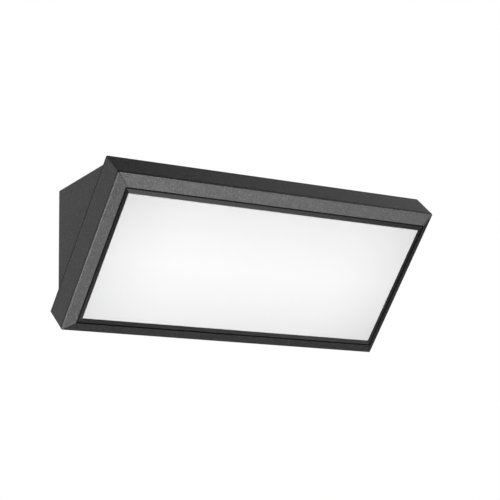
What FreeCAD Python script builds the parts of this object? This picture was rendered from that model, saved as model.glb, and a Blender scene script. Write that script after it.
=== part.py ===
import FreeCAD, Part
import math
import os
import re
import Sketcher

# Outdoor wall light: a wedge-shaped cast housing that hangs on a steel wall bracket, closed in front
# by a tilted, bevelled cast frame round an opal panel. Lamps, driver and terminals are inside.
#
# The world frame has X to the right along the wall, Y into the wall and Z up. Its origin lies on the
# wall, midway between the bracket's two wall slots. Most pieces of the front are drawn in the head's
# own frame: x to the right, y up along the tilted front, z out of the front, origin at the middle of
# the rectangle of the frame's outer front edges. Millimetres and degrees throughout.

doc = FreeCAD.newDocument("WallLight")
V = FreeCAD.Vector
X_AXIS = V(1, 0, 0)
Y_AXIS = V(0, 1, 0)
Z_AXIS = V(0, 0, 1)

SIZES = {
    # Front frame: outer rectangle, bevel, dark border, walls and screw bosses
    "frame_width": 280.0,
    "frame_height": 131.0,
    "frame_depth": 23.5,
    "bevel_rise": 4.3,
    "bevel_side": 7.2,
    "bevel_end": 9.0,
    "border_side": 3.6,
    "border_end": 4.4,
    "frame_wall": 3.5,
    "lip_wall": 1.7,
    "face_wall": 3.0,
    "shoulder_depth": 2.0,
    "edge_round": 0.9,
    "groove_land": 0.4,
    "groove_width": 0.8,
    "groove_depth": 0.8,
    "parting_land": 0.4,
    "parting_width": 0.7,
    "parting_depth": 0.7,
    "boss_radius": 3.0,
    "boss_sink": 0.4,
    "boss_side": 23.0,
    "frame_hole_depth": 8.0,
    "plate_hole_depth": 6.0,
    # How the head stands off the wall
    "tilt": 41.0,
    "wall_gap": 0.8,
    "face_drop": 17.0,
    # Opal diffuser and its seal
    "diffuser_flange": 4.0,
    "diffuser_wall": 2.0,
    "diffuser_proud": 0.3,
    "panel_gap": 0.2,
    "panel_round": 0.6,
    "seal_thickness": 1.0,
    # Reflector, lamp plate, thermal pad, lamp board and its parts
    "reflector_depth": 12.7,
    "reflector_wall": 1.5,
    "board_gap": 1.0,
    "plate_thickness": 1.6,
    "plate_gap": 0.5,
    "notch_gap": 0.5,
    "pad_thickness": 0.4,
    "board_thickness": 1.5,
    "board_side": 22.5,
    "board_end": 20.0,
    "board_screw_side": 9.0,
    "board_screw_end": 7.0,
    "chip_side": 15.0,
    "chip_end": 12.0,
    "chip_length": 3.5,
    "chip_width": 2.8,
    "chip_height": 0.8,
    "lead_hole_side": 5.0,
    "lead_hole_radius": 2.6,
    "connector_length": 9.0,
    "connector_width": 8.0,
    "connector_height": 4.2,
    "grommet_groove_radius": 4.0,
    "grommet_rim": 1.2,
    "grommet_lip": 1.0,
    # Cast housing
    "body_inset": 7.0,
    "cast_round": 0.8,
    "rear_height": 77.2,
    "foot_rise": 15.0,
    "top_step": 0.3,
    "shell_wall": 3.0,
    "back_wall": 2.5,
    "flange_thickness": 3.0,
    "flange_gap": 0.3,
    "gasket_thickness": 1.0,
    "gasket_gap": 0.1,
    "recess_depth": 12.0,
    "chamber_low": 40.0,
    "column_wall": 1.6,
    "column_length": 18.0,
    "head_seat": 1.5,
    "inner_boss_radius": 3.4,
    "inner_boss_height": 4.0,
    "inner_hole_depth": 5.0,
    # Screws: three and four millimetre threads
    "small_thread": 1.5,
    "small_head": 2.5,
    "small_head_height": 2.0,
    "small_key": 1.15,
    "small_key_depth": 1.2,
    "small_clearance": 0.2,
    "head_clearance": 0.35,
    "frame_screw_length": 8.0,
    "plate_screw_length": 6.0,
    "board_screw_length": 3.0,
    "inner_screw_length": 5.0,
    "large_thread": 2.0,
    "large_head": 3.8,
    "large_head_height": 2.6,
    "large_key": 1.45,
    "large_key_depth": 1.5,
    "thread_gap": 0.05,
    # Wall bracket and the two locking screws
    "bracket_side": 28.0,
    "bracket_thickness": 2.0,
    "bracket_gap": 0.3,
    "tab_reach": 10.0,
    "tab_half_width": 9.0,
    "tab_side": 22.0,
    "tab_bend": 1.5,
    "tab_corner": 2.0,
    "bracket_corner": 4.0,
    "slot_pitch": 120.0,
    "slot_radius": 2.5,
    "slot_length": 12.0,
    "cable_hole": 13.0,
    "lock_reach": 5.5,
    "lock_length": 12.0,
    "lock_seat": 2.0,
    "lock_gap": 0.3,
    "lock_notch_gap": 0.4,
    "lock_pocket_gap": 1.0,
    "washer_radius": 4.5,
    "washer_thickness": 0.8,
    "washer_hole_gap": 0.2,
    # Cable grommet in the housing's back wall, and the clamp behind it
    "cable_radius": 3.8,
    "cable_grommet_neck": 7.0,
    "cable_grommet_rim": 2.2,
    "cable_grommet_lip": 1.8,
    "cable_grommet_nose": 4.5,
    "clamp_reach": 19.0,
    "clamp_span": 12.0,
    "clamp_half_width": 4.0,
    "clamp_thickness": 6.0,
    "clamp_end": 4.0,
    # Driver
    "driver_side_gap": 5.0,
    "driver_cable_gap": 27.0,
    "driver_half_height": 17.0,
    "driver_depth": 21.0,
    "driver_wall": 1.6,
    "driver_up": 13.0,
    "driver_ear": 8.0,
    "ear_thickness": 2.0,
    "ear_half_height": 5.0,
    "driver_board_rise": 3.0,
    "driver_board_gap": 0.4,
    "driver_cover_gap": 0.2,
    "driver_lead_pitch": 4.6,
    "core_length": 20.0,
    "core_half_width": 8.0,
    "core_height": 12.0,
    "can_radius": 5.0,
    "can_end_gap": 5.0,
    "choke_radius": 4.0,
    "choke_height": 8.0,
    # Terminal block and earth point
    "terminal_reach": 34.0,
    "terminal_pitch": 10.0,
    "terminal_half_height": 8.0,
    "terminal_depth": 17.0,
    "terminal_ear": 8.0,
    "terminal_tube": 2.6,
    "terminal_bore": 1.6,
    "terminal_screw": 1.4,
    "terminal_screw_inset": 3.5,
    "terminal_screw_well": 1.7,
    "earth_boss_radius": 5.0,
    "lug_thickness": 0.8,
    "lug_radius": 4.0,
    "lug_tail": 5.5,
    "lug_tail_half_width": 1.8,
    "lug_barrel": 4.0,
    "lug_barrel_radius": 1.7,
    "earth_screw_length": 5.0,
    # Internal leads
    "lead_radius": 0.95,
    "lead_pair": 1.2,
    "lead_hole_gap": 0.2,
    # How far every cutting tool runs past what it cuts
    "overrun": 1.0,
}

PLACES = {
    # Head frame: the front's middle stands this far off the wall
    "face_out": "wall_gap + frame_height / 2 * sin(tilt) + frame_depth * cos(tilt)",
    "half_width": "frame_width / 2",
    "half_height": "frame_height / 2",
    "inner_half_width": "half_width - frame_wall",
    "inner_half_height": "half_height - frame_wall",
    "lip_half_width": "half_width - lip_wall",
    "lip_half_height": "half_height - lip_wall",
    "window_half_width": "half_width - bevel_side - border_side",
    "window_half_height": "half_height - bevel_end - border_end",
    "seat_half_width": "window_half_width + diffuser_flange",
    "seat_half_height": "window_half_height + diffuser_flange",
    "boss_row": "inner_half_height - boss_radius + boss_sink",
    "boss_pitch": "half_width - body_inset - boss_side",
    "flange_front": "flange_thickness - frame_depth",
    "seat_face": "bevel_rise - face_wall",
    "diffuser_front": "seat_face - seal_thickness",
    "diffuser_back": "diffuser_front - diffuser_wall",
    "plate_front": "diffuser_back - reflector_depth",
    "plate_back": "plate_front - plate_thickness",
    "board_back": "plate_front + pad_thickness",
    "board_front": "board_back + board_thickness",
    "board_half_width": "inner_half_width - board_side",
    "board_half_height": "inner_half_height - board_end",
    "board_screw_reach": "board_half_width - board_screw_side",
    "board_screw_rise": "board_half_height - board_screw_end",
    "lead_hole_reach": "board_half_width - lead_hole_side",
    # Wedge of the housing, as distances out from the wall and up from the origin
    "foot_up": "foot_rise - face_drop - half_height * cos(tilt) + frame_depth * sin(tilt)",
    "foot_out": "wall_gap + foot_rise * tan(tilt)",
    "top_up": "foot_up + rear_height",
    "rim_top": "half_height - top_step",
    "rim_out": "face_out + rim_top * sin(tilt) - frame_depth * cos(tilt)",
    "rim_up": "rim_top * cos(tilt) + frame_depth * sin(tilt) - face_drop",
    "top_slope": "(rim_up - top_up) / rim_out",
    "rim_inner": "rim_top - shell_wall / (cos(tilt) - top_slope * sin(tilt))",
    "body_half_width": "half_width - body_inset",
    "chamber_half_width": "body_half_width - shell_wall",
    "chamber_out": "recess_depth + back_wall",
    "recess_top": "top_up - shell_wall",
    "recess_foot": "foot_up + shell_wall",
    "inner_boss_out": "chamber_out + inner_boss_height",
    # Bracket and locking screws
    "bracket_half_width": "chamber_half_width - bracket_side",
    "tab_middle": "bracket_half_width - tab_side",
    "bracket_top": "recess_top - bracket_gap",
    "bracket_foot": "recess_foot + bracket_gap",
    "lock_seat_up": "recess_top + lock_seat",
    "washer_up": "lock_seat_up + lock_gap",
    "lock_head_up": "washer_up + washer_thickness",
    # Driver, left to right, and terminal block
    "driver_low": "driver_side_gap + driver_ear - chamber_half_width",
    "driver_high": "-driver_cable_gap",
    "driver_middle": "(driver_low + driver_high) / 2",
    "can_foot": "core_length",
    "can_head": "driver_high - driver_middle - can_end_gap",
    "driver_front": "chamber_out + driver_depth",
    "driver_board_out": "chamber_out + driver_wall + driver_board_rise",
    "terminal_high": "terminal_reach + 3 * terminal_pitch",
    "terminal_front": "chamber_out + terminal_depth",
    "terminal_tube_out": "chamber_out + terminal_depth / 2",
    "earth_reach": "(terminal_high + terminal_ear + chamber_half_width) / 2",
    "ear_middle": "driver_ear / 2",
}

SHEETS = {word: "Sizes" for word in SIZES}
SHEETS.update({word: "Places" for word in PLACES})


def bound(text):
    """Put the name of its sheet before each word that the two sheets hold."""
    def full(found):
        word = found[0]
        return f"{SHEETS[word]}.{word}" if word in SHEETS else word
    return re.sub(r"[a-z_]+", full, text)


def fill_sheet(name, rows):
    sheet = doc.addObject("Spreadsheet::Sheet", name)
    for row, (word, content) in enumerate(rows.items(), start=1):
        sheet.set(f"A{row}", word)
        sheet.set(f"B{row}", str(content))
        sheet.setAlias(f"B{row}", word)
    doc.recompute()
    return sheet


sizes = fill_sheet("Sizes", SIZES)
places = fill_sheet("Places", {word: "=" + bound(text).replace("Places.", "")
                              for word, text in PLACES.items()})


def value(text):
    """The number that an expression gives with the sheets as they are."""
    return float(sizes.evalExpression(bound(text)))


def on_head(y, z):
    """World Y and Z of a point in the head's frame, as expressions."""
    out = f"(face_out + ({y}) * sin(tilt) + ({z}) * cos(tilt))"
    up = f"(({y}) * cos(tilt) - ({z}) * sin(tilt) - face_drop)"
    return f"-{out}", up


def onto_head(piece):
    """Tilt a piece drawn in the head's frame and set it at the middle of the front."""
    piece.Placement = FreeCAD.Placement(V(), FreeCAD.Rotation(X_AXIS, 90 + value("tilt")))
    piece.setExpression("Placement.Rotation.Angle", bound("90 + tilt"))
    piece.setExpression("Placement.Base.y", bound("-face_out"))
    piece.setExpression("Placement.Base.z", bound("-face_drop"))
    return piece


def past(low, high):
    """The span of a cutting tool: it runs past both ends of what it cuts."""
    return (f"({low}) - overrun", f"({high}) + overrun")


def box(name, x, y, z):
    """A block between a low and a high expression on each axis."""
    piece = doc.addObject("Part::Box", name)
    for side, axis, (low, high) in zip(("Length", "Width", "Height"), "xyz", (x, y, z)):
        piece.setExpression(side, bound(f"({high}) - ({low})"))
        piece.setExpression(f"Placement.Base.{axis}", bound(low))
    return piece


TURNS = {"x": (Y_AXIS, 90), "y": (X_AXIS, -90), "z": (Z_AXIS, 0)}


def lay(piece, axis, centre, low):
    """Turn a primitive that stands on Z onto an axis, and put its foot there."""
    piece.Placement = FreeCAD.Placement(V(), FreeCAD.Rotation(*TURNS[axis]))
    across = [letter for letter in "xyz" if letter != axis]
    for letter, place in zip(across + [axis], list(centre) + [low]):
        piece.setExpression(f"Placement.Base.{letter}", bound(place))
    return piece


def rod(name, axis, centre, span, radius):
    """A cylinder along an axis: its centre on the two other axes, in order, and its low and high end."""
    piece = doc.addObject("Part::Cylinder", name)
    piece.setExpression("Radius", bound(radius))
    piece.setExpression("Height", bound(f"({span[1]}) - ({span[0]})"))
    return lay(piece, axis, centre, span[0])


def hexagon(name, axis, centre, span, radius):
    """A hexagonal bar, measured across its corners, placed as a rod is."""
    piece = doc.addObject("Part::Prism", name)
    piece.Polygon = 6
    piece.setExpression("Circumradius", bound(radius))
    piece.setExpression("Height", bound(f"({span[1]}) - ({span[0]})"))
    return lay(piece, axis, centre, span[0])


def fuse(name, parts):
    joined = doc.addObject("Part::MultiFuse", name)
    joined.Shapes = parts
    joined.Refine = True
    return joined


def cut(name, base, tools):
    tool = tools[0] if len(tools) == 1 else fuse(name + "_tools", tools)
    result = doc.addObject("Part::Cut", name)
    result.Base = base
    result.Tool = tool
    result.Refine = True
    return result


def group(name, parts):
    """Separate equal solids kept as one node."""
    kept = doc.addObject("Part::Compound", name)
    kept.Links = parts
    return kept


def new_body(name):
    body = doc.addObject("PartDesign::Body", name)
    body.AllowCompound = False
    return body


def new_sketch(body, plane, offset="0"):
    sketch = body.newObject("Sketcher::SketchObject", "outline")
    support = [feature for feature in body.Origin.OriginFeatures if feature.Role == plane][0]
    sketch.AttachmentSupport = (support, [""])
    sketch.MapMode = "FlatFace"
    sketch.setExpression("AttachmentOffset.Base.z", bound(offset))
    return sketch


def pin(sketch, kind, element, point, text):
    index = sketch.addConstraint(Sketcher.Constraint(kind, -1, 1, element, point, value(text)))
    sketch.setExpression(f"Constraints[{index}]", bound(text))


def polygon(sketch, corners):
    first = sketch.GeometryCount
    count = len(corners)
    spots = [V(value(x), value(y), 0) for x, y in corners]
    for here, there in zip(spots, spots[1:] + spots[:1]):
        sketch.addGeometry(Part.LineSegment(here, there), False)
    for step in range(count):
        following = first + (step + 1) % count
        sketch.addConstraint(Sketcher.Constraint("Coincident", first + step, 2, following, 1))
    for step, (x, y) in enumerate(corners):
        pin(sketch, "DistanceX", first + step, 1, x)
        pin(sketch, "DistanceY", first + step, 1, y)


def rectangle(sketch, half_x, half_y):
    polygon(sketch, [(f"-({half_x})", f"-({half_y})"), (half_x, f"-({half_y})"),
                     (half_x, half_y), (f"-({half_x})", half_y)])


def circles(sketch, centres, radius):
    for x, y in centres:
        index = sketch.addGeometry(Part.Circle(V(value(x), value(y), 0), Z_AXIS, value(radius)), False)
        pin(sketch, "DistanceX", index, 3, x)
        pin(sketch, "DistanceY", index, 3, y)
        size = sketch.addConstraint(Sketcher.Constraint("Radius", index, value(radius)))
        sketch.setExpression(f"Constraints[{size}]", bound(radius))


def pad(body, sketch, length, midplane=False):
    feature = body.newObject("PartDesign::Pad", "pad")
    feature.Profile = sketch
    feature.setExpression("Length", bound(length))
    feature.Midplane = midplane
    doc.recompute()
    return feature


def pocket(body, sketch, length):
    """Cut along the sketch's own normal, and make sure that something was cut."""
    before = body.Shape.Volume
    feature = body.newObject("PartDesign::Pocket", "pocket")
    feature.Profile = sketch
    feature.Reversed = True
    feature.setExpression("Length", bound(length))
    doc.recompute()
    if body.Shape.Volume >= before:
        raise ValueError(f"a pocket in {body.Label} cuts nothing")
    return feature


def loft(body, kind, lower, upper):
    feature = body.newObject(f"PartDesign::{kind}", "loft")
    feature.Profile = lower
    feature.Sections = [upper]
    feature.Ruled = True
    doc.recompute()
    return feature


def soften(body, chosen, radius):
    """Round the edges of a body that the test picks by their two end points."""
    edges = [number for number, edge in enumerate(body.Shape.Edges, start=1)
             if chosen([vertex.Point for vertex in edge.Vertexes])]
    base = body.Tip
    feature = body.newObject("PartDesign::Fillet", "rounded")
    feature.Base = (base, [f"Edge{number}" for number in edges])
    feature.setExpression("Radius", bound(radius))
    doc.recompute()


def plate_of(body, half_x, half_y, low, high):
    """A rectangular block of the head, from one z to another."""
    sketch = new_sketch(body, "XY_Plane", low)
    rectangle(sketch, half_x, half_y)
    return pad(body, sketch, f"({high}) - ({low})")


def clear_rectangle(body, half_x, half_y, low, high):
    sketch = new_sketch(body, "XY_Plane", low)
    rectangle(sketch, half_x, half_y)
    return pocket(body, sketch, f"({high}) - ({low})")


def drill(body, centres, radius, low, high):
    sketch = new_sketch(body, "XY_Plane", low)
    circles(sketch, centres, radius)
    return pocket(body, sketch, f"({high}) - ({low})")


def prism(name, corners, half_width):
    """A bar along X whose section is drawn in the world's Y and Z."""
    body = new_body(name)
    sketch = new_sketch(body, "YZ_Plane")
    polygon(sketch, corners)
    pad(body, sketch, f"2 * ({half_width})", midplane=True)
    return body


def ring(name, outer, inner, low, high):
    """A flat rectangular ring of the head, from one z to another."""
    body = new_body(name)
    sketch = new_sketch(body, "XY_Plane", low)
    rectangle(sketch, *outer)
    rectangle(sketch, *inner)
    pad(body, sketch, f"({high}) - ({low})")
    return onto_head(body)


# Bosses stand in two rows inside the frame: three long ones a row carry the housing, and two short
# ones between them carry the lamp plate.
LONG_BOSSES = [(x, y) for y in ("-boss_row", "boss_row") for x in ("-boss_pitch", "0", "boss_pitch")]
SHORT_BOSSES = [(x, y) for y in ("-boss_row", "boss_row") for x in ("-boss_pitch / 2", "boss_pitch / 2")]
BOARD_SCREWS = [(x, y) for y in ("-board_screw_rise", "board_screw_rise")
                for x in ("-board_screw_reach", "0", "board_screw_reach")]
LEAD_HOLE = [("lead_hole_reach", "0")]


def front_frame():
    """The cast frame: a bevelled front with a window, on four side walls, with screw bosses inside."""
    body = new_body("front_frame")
    plate_of(body, "half_width", "half_height", "-frame_depth", "0")
    foot = new_sketch(body, "XY_Plane")
    rectangle(foot, "half_width", "half_height")
    brow = new_sketch(body, "XY_Plane", "bevel_rise")
    rectangle(brow, "half_width - bevel_side", "half_height - bevel_end")
    loft(body, "AdditiveLoft", foot, brow)
    round_outside(body)
    clear_rectangle(body, "inner_half_width", "inner_half_height",
                    "-frame_depth - overrun", "-shoulder_depth")
    clear_rectangle(body, "lip_half_width", "lip_half_height", "-frame_depth - overrun",
                    "flange_front + gasket_thickness")
    clear_rectangle(body, "seat_half_width", "seat_half_height", "-shoulder_depth - overrun", "seat_face")
    clear_rectangle(body, "window_half_width", "window_half_height", "seat_face - overrun",
                    "bevel_rise + overrun")
    groove_round_border(body)
    groove_at_parting(body)
    for centres, end in ((LONG_BOSSES, "flange_front"), (SHORT_BOSSES, "plate_front")):
        sketch = new_sketch(body, "XY_Plane", end)
        circles(sketch, centres, "boss_radius")
        pad(body, sketch, f"-shoulder_depth - ({end})")
    drill(body, LONG_BOSSES, "small_thread + thread_gap", "flange_front - overrun",
          "flange_front + frame_hole_depth")
    drill(body, SHORT_BOSSES, "small_thread + thread_gap", "plate_front - overrun",
          "plate_front + plate_hole_depth")
    return onto_head(body)


def groove_round_border(body):
    """A fine groove between the bevel and the flat border."""
    half_x = "half_width - bevel_side - groove_land"
    half_y = "half_height - bevel_end - groove_land"
    sketch = new_sketch(body, "XY_Plane", "bevel_rise - groove_depth")
    rectangle(sketch, half_x, half_y)
    rectangle(sketch, f"{half_x} - groove_width", f"{half_y} - groove_width")
    pocket(body, sketch, "groove_depth + overrun")


def groove_at_parting(body):
    """A fine shadow groove round the four side walls, just in front of their rear edge."""
    sketch = new_sketch(body, "XY_Plane", "parting_land - frame_depth")
    rectangle(sketch, "half_width + overrun", "half_height + overrun")
    rectangle(sketch, "half_width - parting_depth", "half_height - parting_depth")
    pocket(body, sketch, "parting_width")


def round_outside(body):
    """Break the corners and the two edges of the bevel on the frame's outside."""
    def outside(ends):
        return max(end.z for end in ends) > -value("frame_depth") / 2
    soften(body, outside, "edge_round")


def diffuser():
    """The opal moulding: a shallow pan that fills the window, on a flange behind the frame."""
    def on_face(ends):
        return min(end.z for end in ends) > value("seat_face")
    body = new_body("diffuser")
    plate_of(body, "window_half_width - panel_gap", "window_half_height - panel_gap",
             "diffuser_back", "bevel_rise + diffuser_proud")
    soften(body, on_face, "panel_round")
    plate_of(body, "seat_half_width - panel_gap", "seat_half_height - panel_gap",
             "diffuser_back", "diffuser_front")
    clear_rectangle(body, "window_half_width - panel_gap - diffuser_wall",
                    "window_half_height - panel_gap - diffuser_wall", "diffuser_back - overrun",
                    "bevel_rise + diffuser_proud - diffuser_wall")
    return onto_head(body)


def diffuser_seal():
    return ring("diffuser_seal", ("seat_half_width - panel_gap", "seat_half_height - panel_gap"),
                ("window_half_width + panel_gap", "window_half_height + panel_gap"),
                "diffuser_front", "seat_face")


def housing_gasket():
    """The flat ring between the housing's flange and the frame's inner ledge, eased round the bosses."""
    level = ("flange_front", "flange_front + gasket_thickness")
    body = ring("housing_gasket", ("lip_half_width - gasket_gap", "lip_half_height - gasket_gap"),
                ("inner_half_width + gasket_gap", "inner_half_height + gasket_gap"), *level)
    drill(body, LONG_BOSSES, "boss_radius + gasket_gap", *past(*level))
    return body


def reflector():
    """A white funnel of four sloping walls between the lamp plate and the diffuser's flange."""
    body = new_body("reflector")
    foot = ("board_half_width + board_gap", "board_half_height + board_gap")
    mouth = ("window_half_width - panel_gap", "window_half_height - panel_gap")
    for kind, grown in (("AdditiveLoft", "reflector_wall"), ("SubtractiveLoft", "0")):
        lower = new_sketch(body, "XY_Plane", "plate_front")
        rectangle(lower, *[f"{half} + {grown}" for half in foot])
        upper = new_sketch(body, "XY_Plane", "diffuser_back")
        rectangle(upper, *[f"{half} + {grown}" for half in mouth])
        loft(body, kind, lower, upper)
    return onto_head(body)


def lamp_plate():
    """The aluminium tray behind the lamps, notched round the long bosses."""
    body = new_body("lamp_plate")
    plate_of(body, "inner_half_width - plate_gap", "inner_half_height - plate_gap",
             "plate_back", "plate_front")
    through = past("plate_back", "plate_front")
    for boss in LONG_BOSSES:
        drill(body, [boss], "boss_radius + notch_gap", *through)
    drill(body, SHORT_BOSSES, "small_thread + small_clearance", *through)
    drill(body, BOARD_SCREWS, "small_thread + thread_gap", *through)
    drill(body, LEAD_HOLE, "grommet_groove_radius", *through)
    return onto_head(body)


def board_layer(name, low, high, lead_hole):
    """A sheet of the lamp board's outline, with its screw holes and its lead hole."""
    body = new_body(name)
    plate_of(body, "board_half_width", "board_half_height", low, high)
    drill(body, BOARD_SCREWS, "small_thread + small_clearance", *past(low, high))
    drill(body, LEAD_HOLE, lead_hole, *past(low, high))
    return onto_head(body)


def thermal_pad():
    """The pad takes the grommet's lip in a wider lead hole."""
    return board_layer("thermal_pad", "plate_front", "board_back", "grommet_groove_radius + notch_gap")


def lamp_board():
    return board_layer("lamp_board", "board_back", "board_front", "lead_hole_radius")


CHIP_COLUMNS = 12
CHIP_ROWS = 4


def lamp_chips():
    """Rows of small white lamps soldered to the board."""
    chips = []
    for row in range(CHIP_ROWS):
        for column in range(CHIP_COLUMNS):
            x = f"(board_half_width - chip_side) * {column * 2 / (CHIP_COLUMNS - 1) - 1}"
            y = f"(board_half_height - chip_end) * {row * 2 / (CHIP_ROWS - 1) - 1}"
            chips.append(box("chip", (f"{x} - chip_length / 2", f"{x} + chip_length / 2"),
                             (f"{y} - chip_width / 2", f"{y} + chip_width / 2"),
                             ("board_front", "board_front + chip_height")))
    return onto_head(group("lamp_chips", chips))


def lamp_connector():
    """The plug socket over the board's lead hole, entered from behind."""
    half = ("connector_length / 2", "connector_width / 2")
    block = box("connector_block", (f"lead_hole_reach - {half[0]}", f"lead_hole_reach + {half[0]}"),
                (f"-{half[1]}", half[1]), ("board_front", "board_front + connector_height"))
    latch = box("connector_groove", (f"lead_hole_reach - {half[0]} / 2", f"lead_hole_reach + {half[0]} / 2"),
                (f"-{half[1]} / 2", f"{half[1]} / 2"),
                ("board_front + connector_height / 2", "board_front + connector_height + overrun"))
    return onto_head(cut("lamp_connector", block, [latch]))


def lead_grommet():
    """A rubber ring in the plate's lead hole, with a lip on each side."""
    centre = LEAD_HOLE[0]
    level = ("plate_back - grommet_lip", "plate_front")
    neck = rod("grommet_neck", "z", centre, level, "grommet_groove_radius")
    rim = rod("grommet_rim_disc", "z", centre, ("plate_back - grommet_lip", "plate_back"),
              "grommet_groove_radius + grommet_rim")
    hole = rod("grommet_bore", "z", centre, past(*level), "lead_hole_radius")
    return onto_head(cut("lead_grommet", fuse("grommet_whole", [neck, rim]), [hole]))


def screw(name, axis, centre, under_head, length, size, outward):
    """A round-headed screw with a hexagonal socket. Its head looks along +axis or -axis (outward)."""
    def span(low, high):
        ends = [f"({under_head}) + ({outward}) * ({level})" for level in (low, high)]
        return ends if outward > 0 else ends[::-1]
    shank = rod(name + "_shank", axis, centre, span(f"-({length})", "0"), f"{size}_thread")
    head = rod(name + "_head", axis, centre, span("0", f"{size}_head_height"), f"{size}_head")
    socket = hexagon(name + "_socket", axis, centre,
                     span(f"{size}_head_height - {size}_key_depth", f"{size}_head_height + overrun"),
                     f"{size}_key")
    return cut(name, fuse(name + "_blank", [shank, head]), [socket])


def screw_set(name, axis, spots, under_head, size, outward):
    """Equal screws at several spots, kept as one node. Their length has the set's own name."""
    kind = name[:-1]
    length = f"{kind}_length"
    return group(name, [screw(kind, axis, spot, under_head, length, size, outward) for spot in spots])


def frame_screws():
    """Six screws drive from behind through the housing's flange into the frame."""
    return onto_head(screw_set("frame_screws", "z", LONG_BOSSES, "flange_front - head_seat", "small", -1))


def plate_screws():
    return onto_head(screw_set("plate_screws", "z", SHORT_BOSSES, "plate_back", "small", -1))


def board_screws():
    return onto_head(screw_set("board_screws", "z", BOARD_SCREWS, "board_front", "small", 1))


# Places on the housing's back wall, as X and Z, that carry a screw boss
DRIVER_EARS = [("driver_low - ear_middle", "driver_up"), ("driver_high + ear_middle", "driver_up")]
TERMINAL_EAR = [("terminal_high + terminal_ear / 2", "driver_up")]
CLAMP_ENDS = [("clamp_reach", "-clamp_span"), ("clamp_reach", "clamp_span")]
INNER_BOSSES = DRIVER_EARS + TERMINAL_EAR + CLAMP_ENDS
EARTH_POINT = ("earth_reach", "driver_up")


# An edge counts as running away from the wall if it rises or strays sideways by less than this share
EVEN_SHARE = 0.5


def housing():
    """The cast wedge: a sealed chamber behind the lamp plate, and a recess behind it for the bracket."""
    wedge = prism("wedge", [("-rim_out", "rim_up"), ("0", "top_up"), ("0", "foot_up"),
                            ("-foot_out", "foot_up")], "body_half_width")
    soften(wedge, runs_outward, "cast_round")
    flange = onto_head(group("flange", [box(
        "flange_plate", ("flange_gap - lip_half_width", "lip_half_width - flange_gap"),
        ("flange_gap - lip_half_height", "lip_half_height - flange_gap"), ("-frame_depth", "flange_front"))]))
    recess = prism("recess", [("overrun", "recess_foot"), ("overrun", "recess_top"),
                              ("-recess_depth", "recess_top"), ("-recess_depth", "recess_foot")],
                   "chamber_half_width")
    columns = onto_head(group("columns", [
        rod("column", "z", spot, ("flange_front - column_length", "flange_front"),
            "small_head + head_clearance + column_wall") for spot in LONG_BOSSES[3:]]))
    bosses = [rod("boss", "y", spot, ("-inner_boss_out", "-recess_depth"), "inner_boss_radius")
              for spot in INNER_BOSSES]
    bosses.append(rod("earth_boss", "y", EARTH_POINT, ("-inner_boss_out", "-recess_depth"),
                      "earth_boss_radius"))
    hollow = cut("hollow", chamber(), [columns] + bosses)
    shell = cut("shell", fuse("blank", [wedge, flange]), [hollow, recess])
    holes = inner_holes() + [cable_entry_hole()]
    return cut("housing", shell, [frame_screw_wells()] + holes + lock_notches())


def runs_outward(ends):
    """Whether an edge of the wedge runs away from the wall along its top or its foot."""
    run = abs(ends[0].y - ends[1].y) * EVEN_SHARE
    return abs(ends[0].z - ends[1].z) < run and abs(ends[0].x - ends[1].x) < run


def chamber():
    """The space inside the wedge, open to the front through the flange."""
    low_front = on_head("-chamber_low", "flange_front + overrun")
    low_back = ("-chamber_out", f"{low_front[1]} + (-({low_front[0]}) - chamber_out) * tan(tilt)")
    return prism("chamber", [("-chamber_out", "top_up - shell_wall + top_slope * chamber_out"),
                             on_head("rim_inner", "-frame_depth"),
                             on_head("rim_inner", "flange_front + overrun"), low_front, low_back],
                 "chamber_half_width")


def frame_screw_wells():
    """A clearance hole for each frame screw, and a round well behind it for the head and the driver bit."""
    seat = "flange_front - head_seat"
    tools = []
    for spot in LONG_BOSSES:
        tools.append(rod("screw_way", "z", spot, past("-frame_depth", "flange_front"),
                         "small_thread + small_clearance"))
        tools.append(rod("head_well", "z", spot, (f"{seat} - column_length", seat),
                         "small_head + head_clearance"))
    return onto_head(fuse("frame_screw_wells", tools))


def inner_holes():
    """Blind threaded holes in the bosses of the chamber."""
    deep = ("-inner_boss_out - overrun", "inner_hole_depth - inner_boss_out")
    holes = [rod("inner_hole", "y", spot, deep, "small_thread + thread_gap") for spot in INNER_BOSSES]
    return holes + [rod("earth_hole", "y", EARTH_POINT, deep, "large_thread + thread_gap")]


def lock_notches():
    """Open-ended notches in the top wall for the locking screws, each with a level seat for the washer."""
    seat_top = "lock_seat_up + large_head_height + washer_thickness + shell_wall"
    shank_way = ("large_thread + lock_notch_gap", past("recess_top", "lock_seat_up"))
    head_way = ("washer_radius + lock_pocket_gap", ("lock_seat_up", seat_top))
    tools = []
    for x in ("-tab_middle", "tab_middle"):
        for radius, level in (shank_way, head_way):
            tools.append(rod("notch_end", "z", (x, "-lock_reach"), level, radius))
            across = (f"{x} - ({radius})", f"{x} + {radius}")
            tools.append(box("notch_way", across, ("-lock_reach", "overrun"), level))
    return tools


def cable_entry_hole():
    return rod("cable_entry_hole", "y", ("0", "0"), past("-chamber_out", "-recess_depth"),
               "cable_grommet_neck")


def cable_grommet():
    """The rubber sleeve in the back wall that the supply cable is pushed through."""
    centre = ("0", "0")
    inner_end = "-chamber_out - cable_grommet_lip"
    outer_end = "cable_grommet_nose - recess_depth"
    neck = rod("sleeve_neck", "y", centre, (inner_end, outer_end), "cable_grommet_neck")
    rims = [rod("sleeve_rim", "y", centre, span, "cable_grommet_neck + cable_grommet_rim")
            for span in ((inner_end, "-chamber_out"), ("-recess_depth", "cable_grommet_lip - recess_depth"))]
    bore = rod("sleeve_bore", "y", centre, past(inner_end, outer_end), "cable_radius")
    return cut("cable_grommet", fuse("sleeve", [neck] + rims), [bore])


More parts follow.
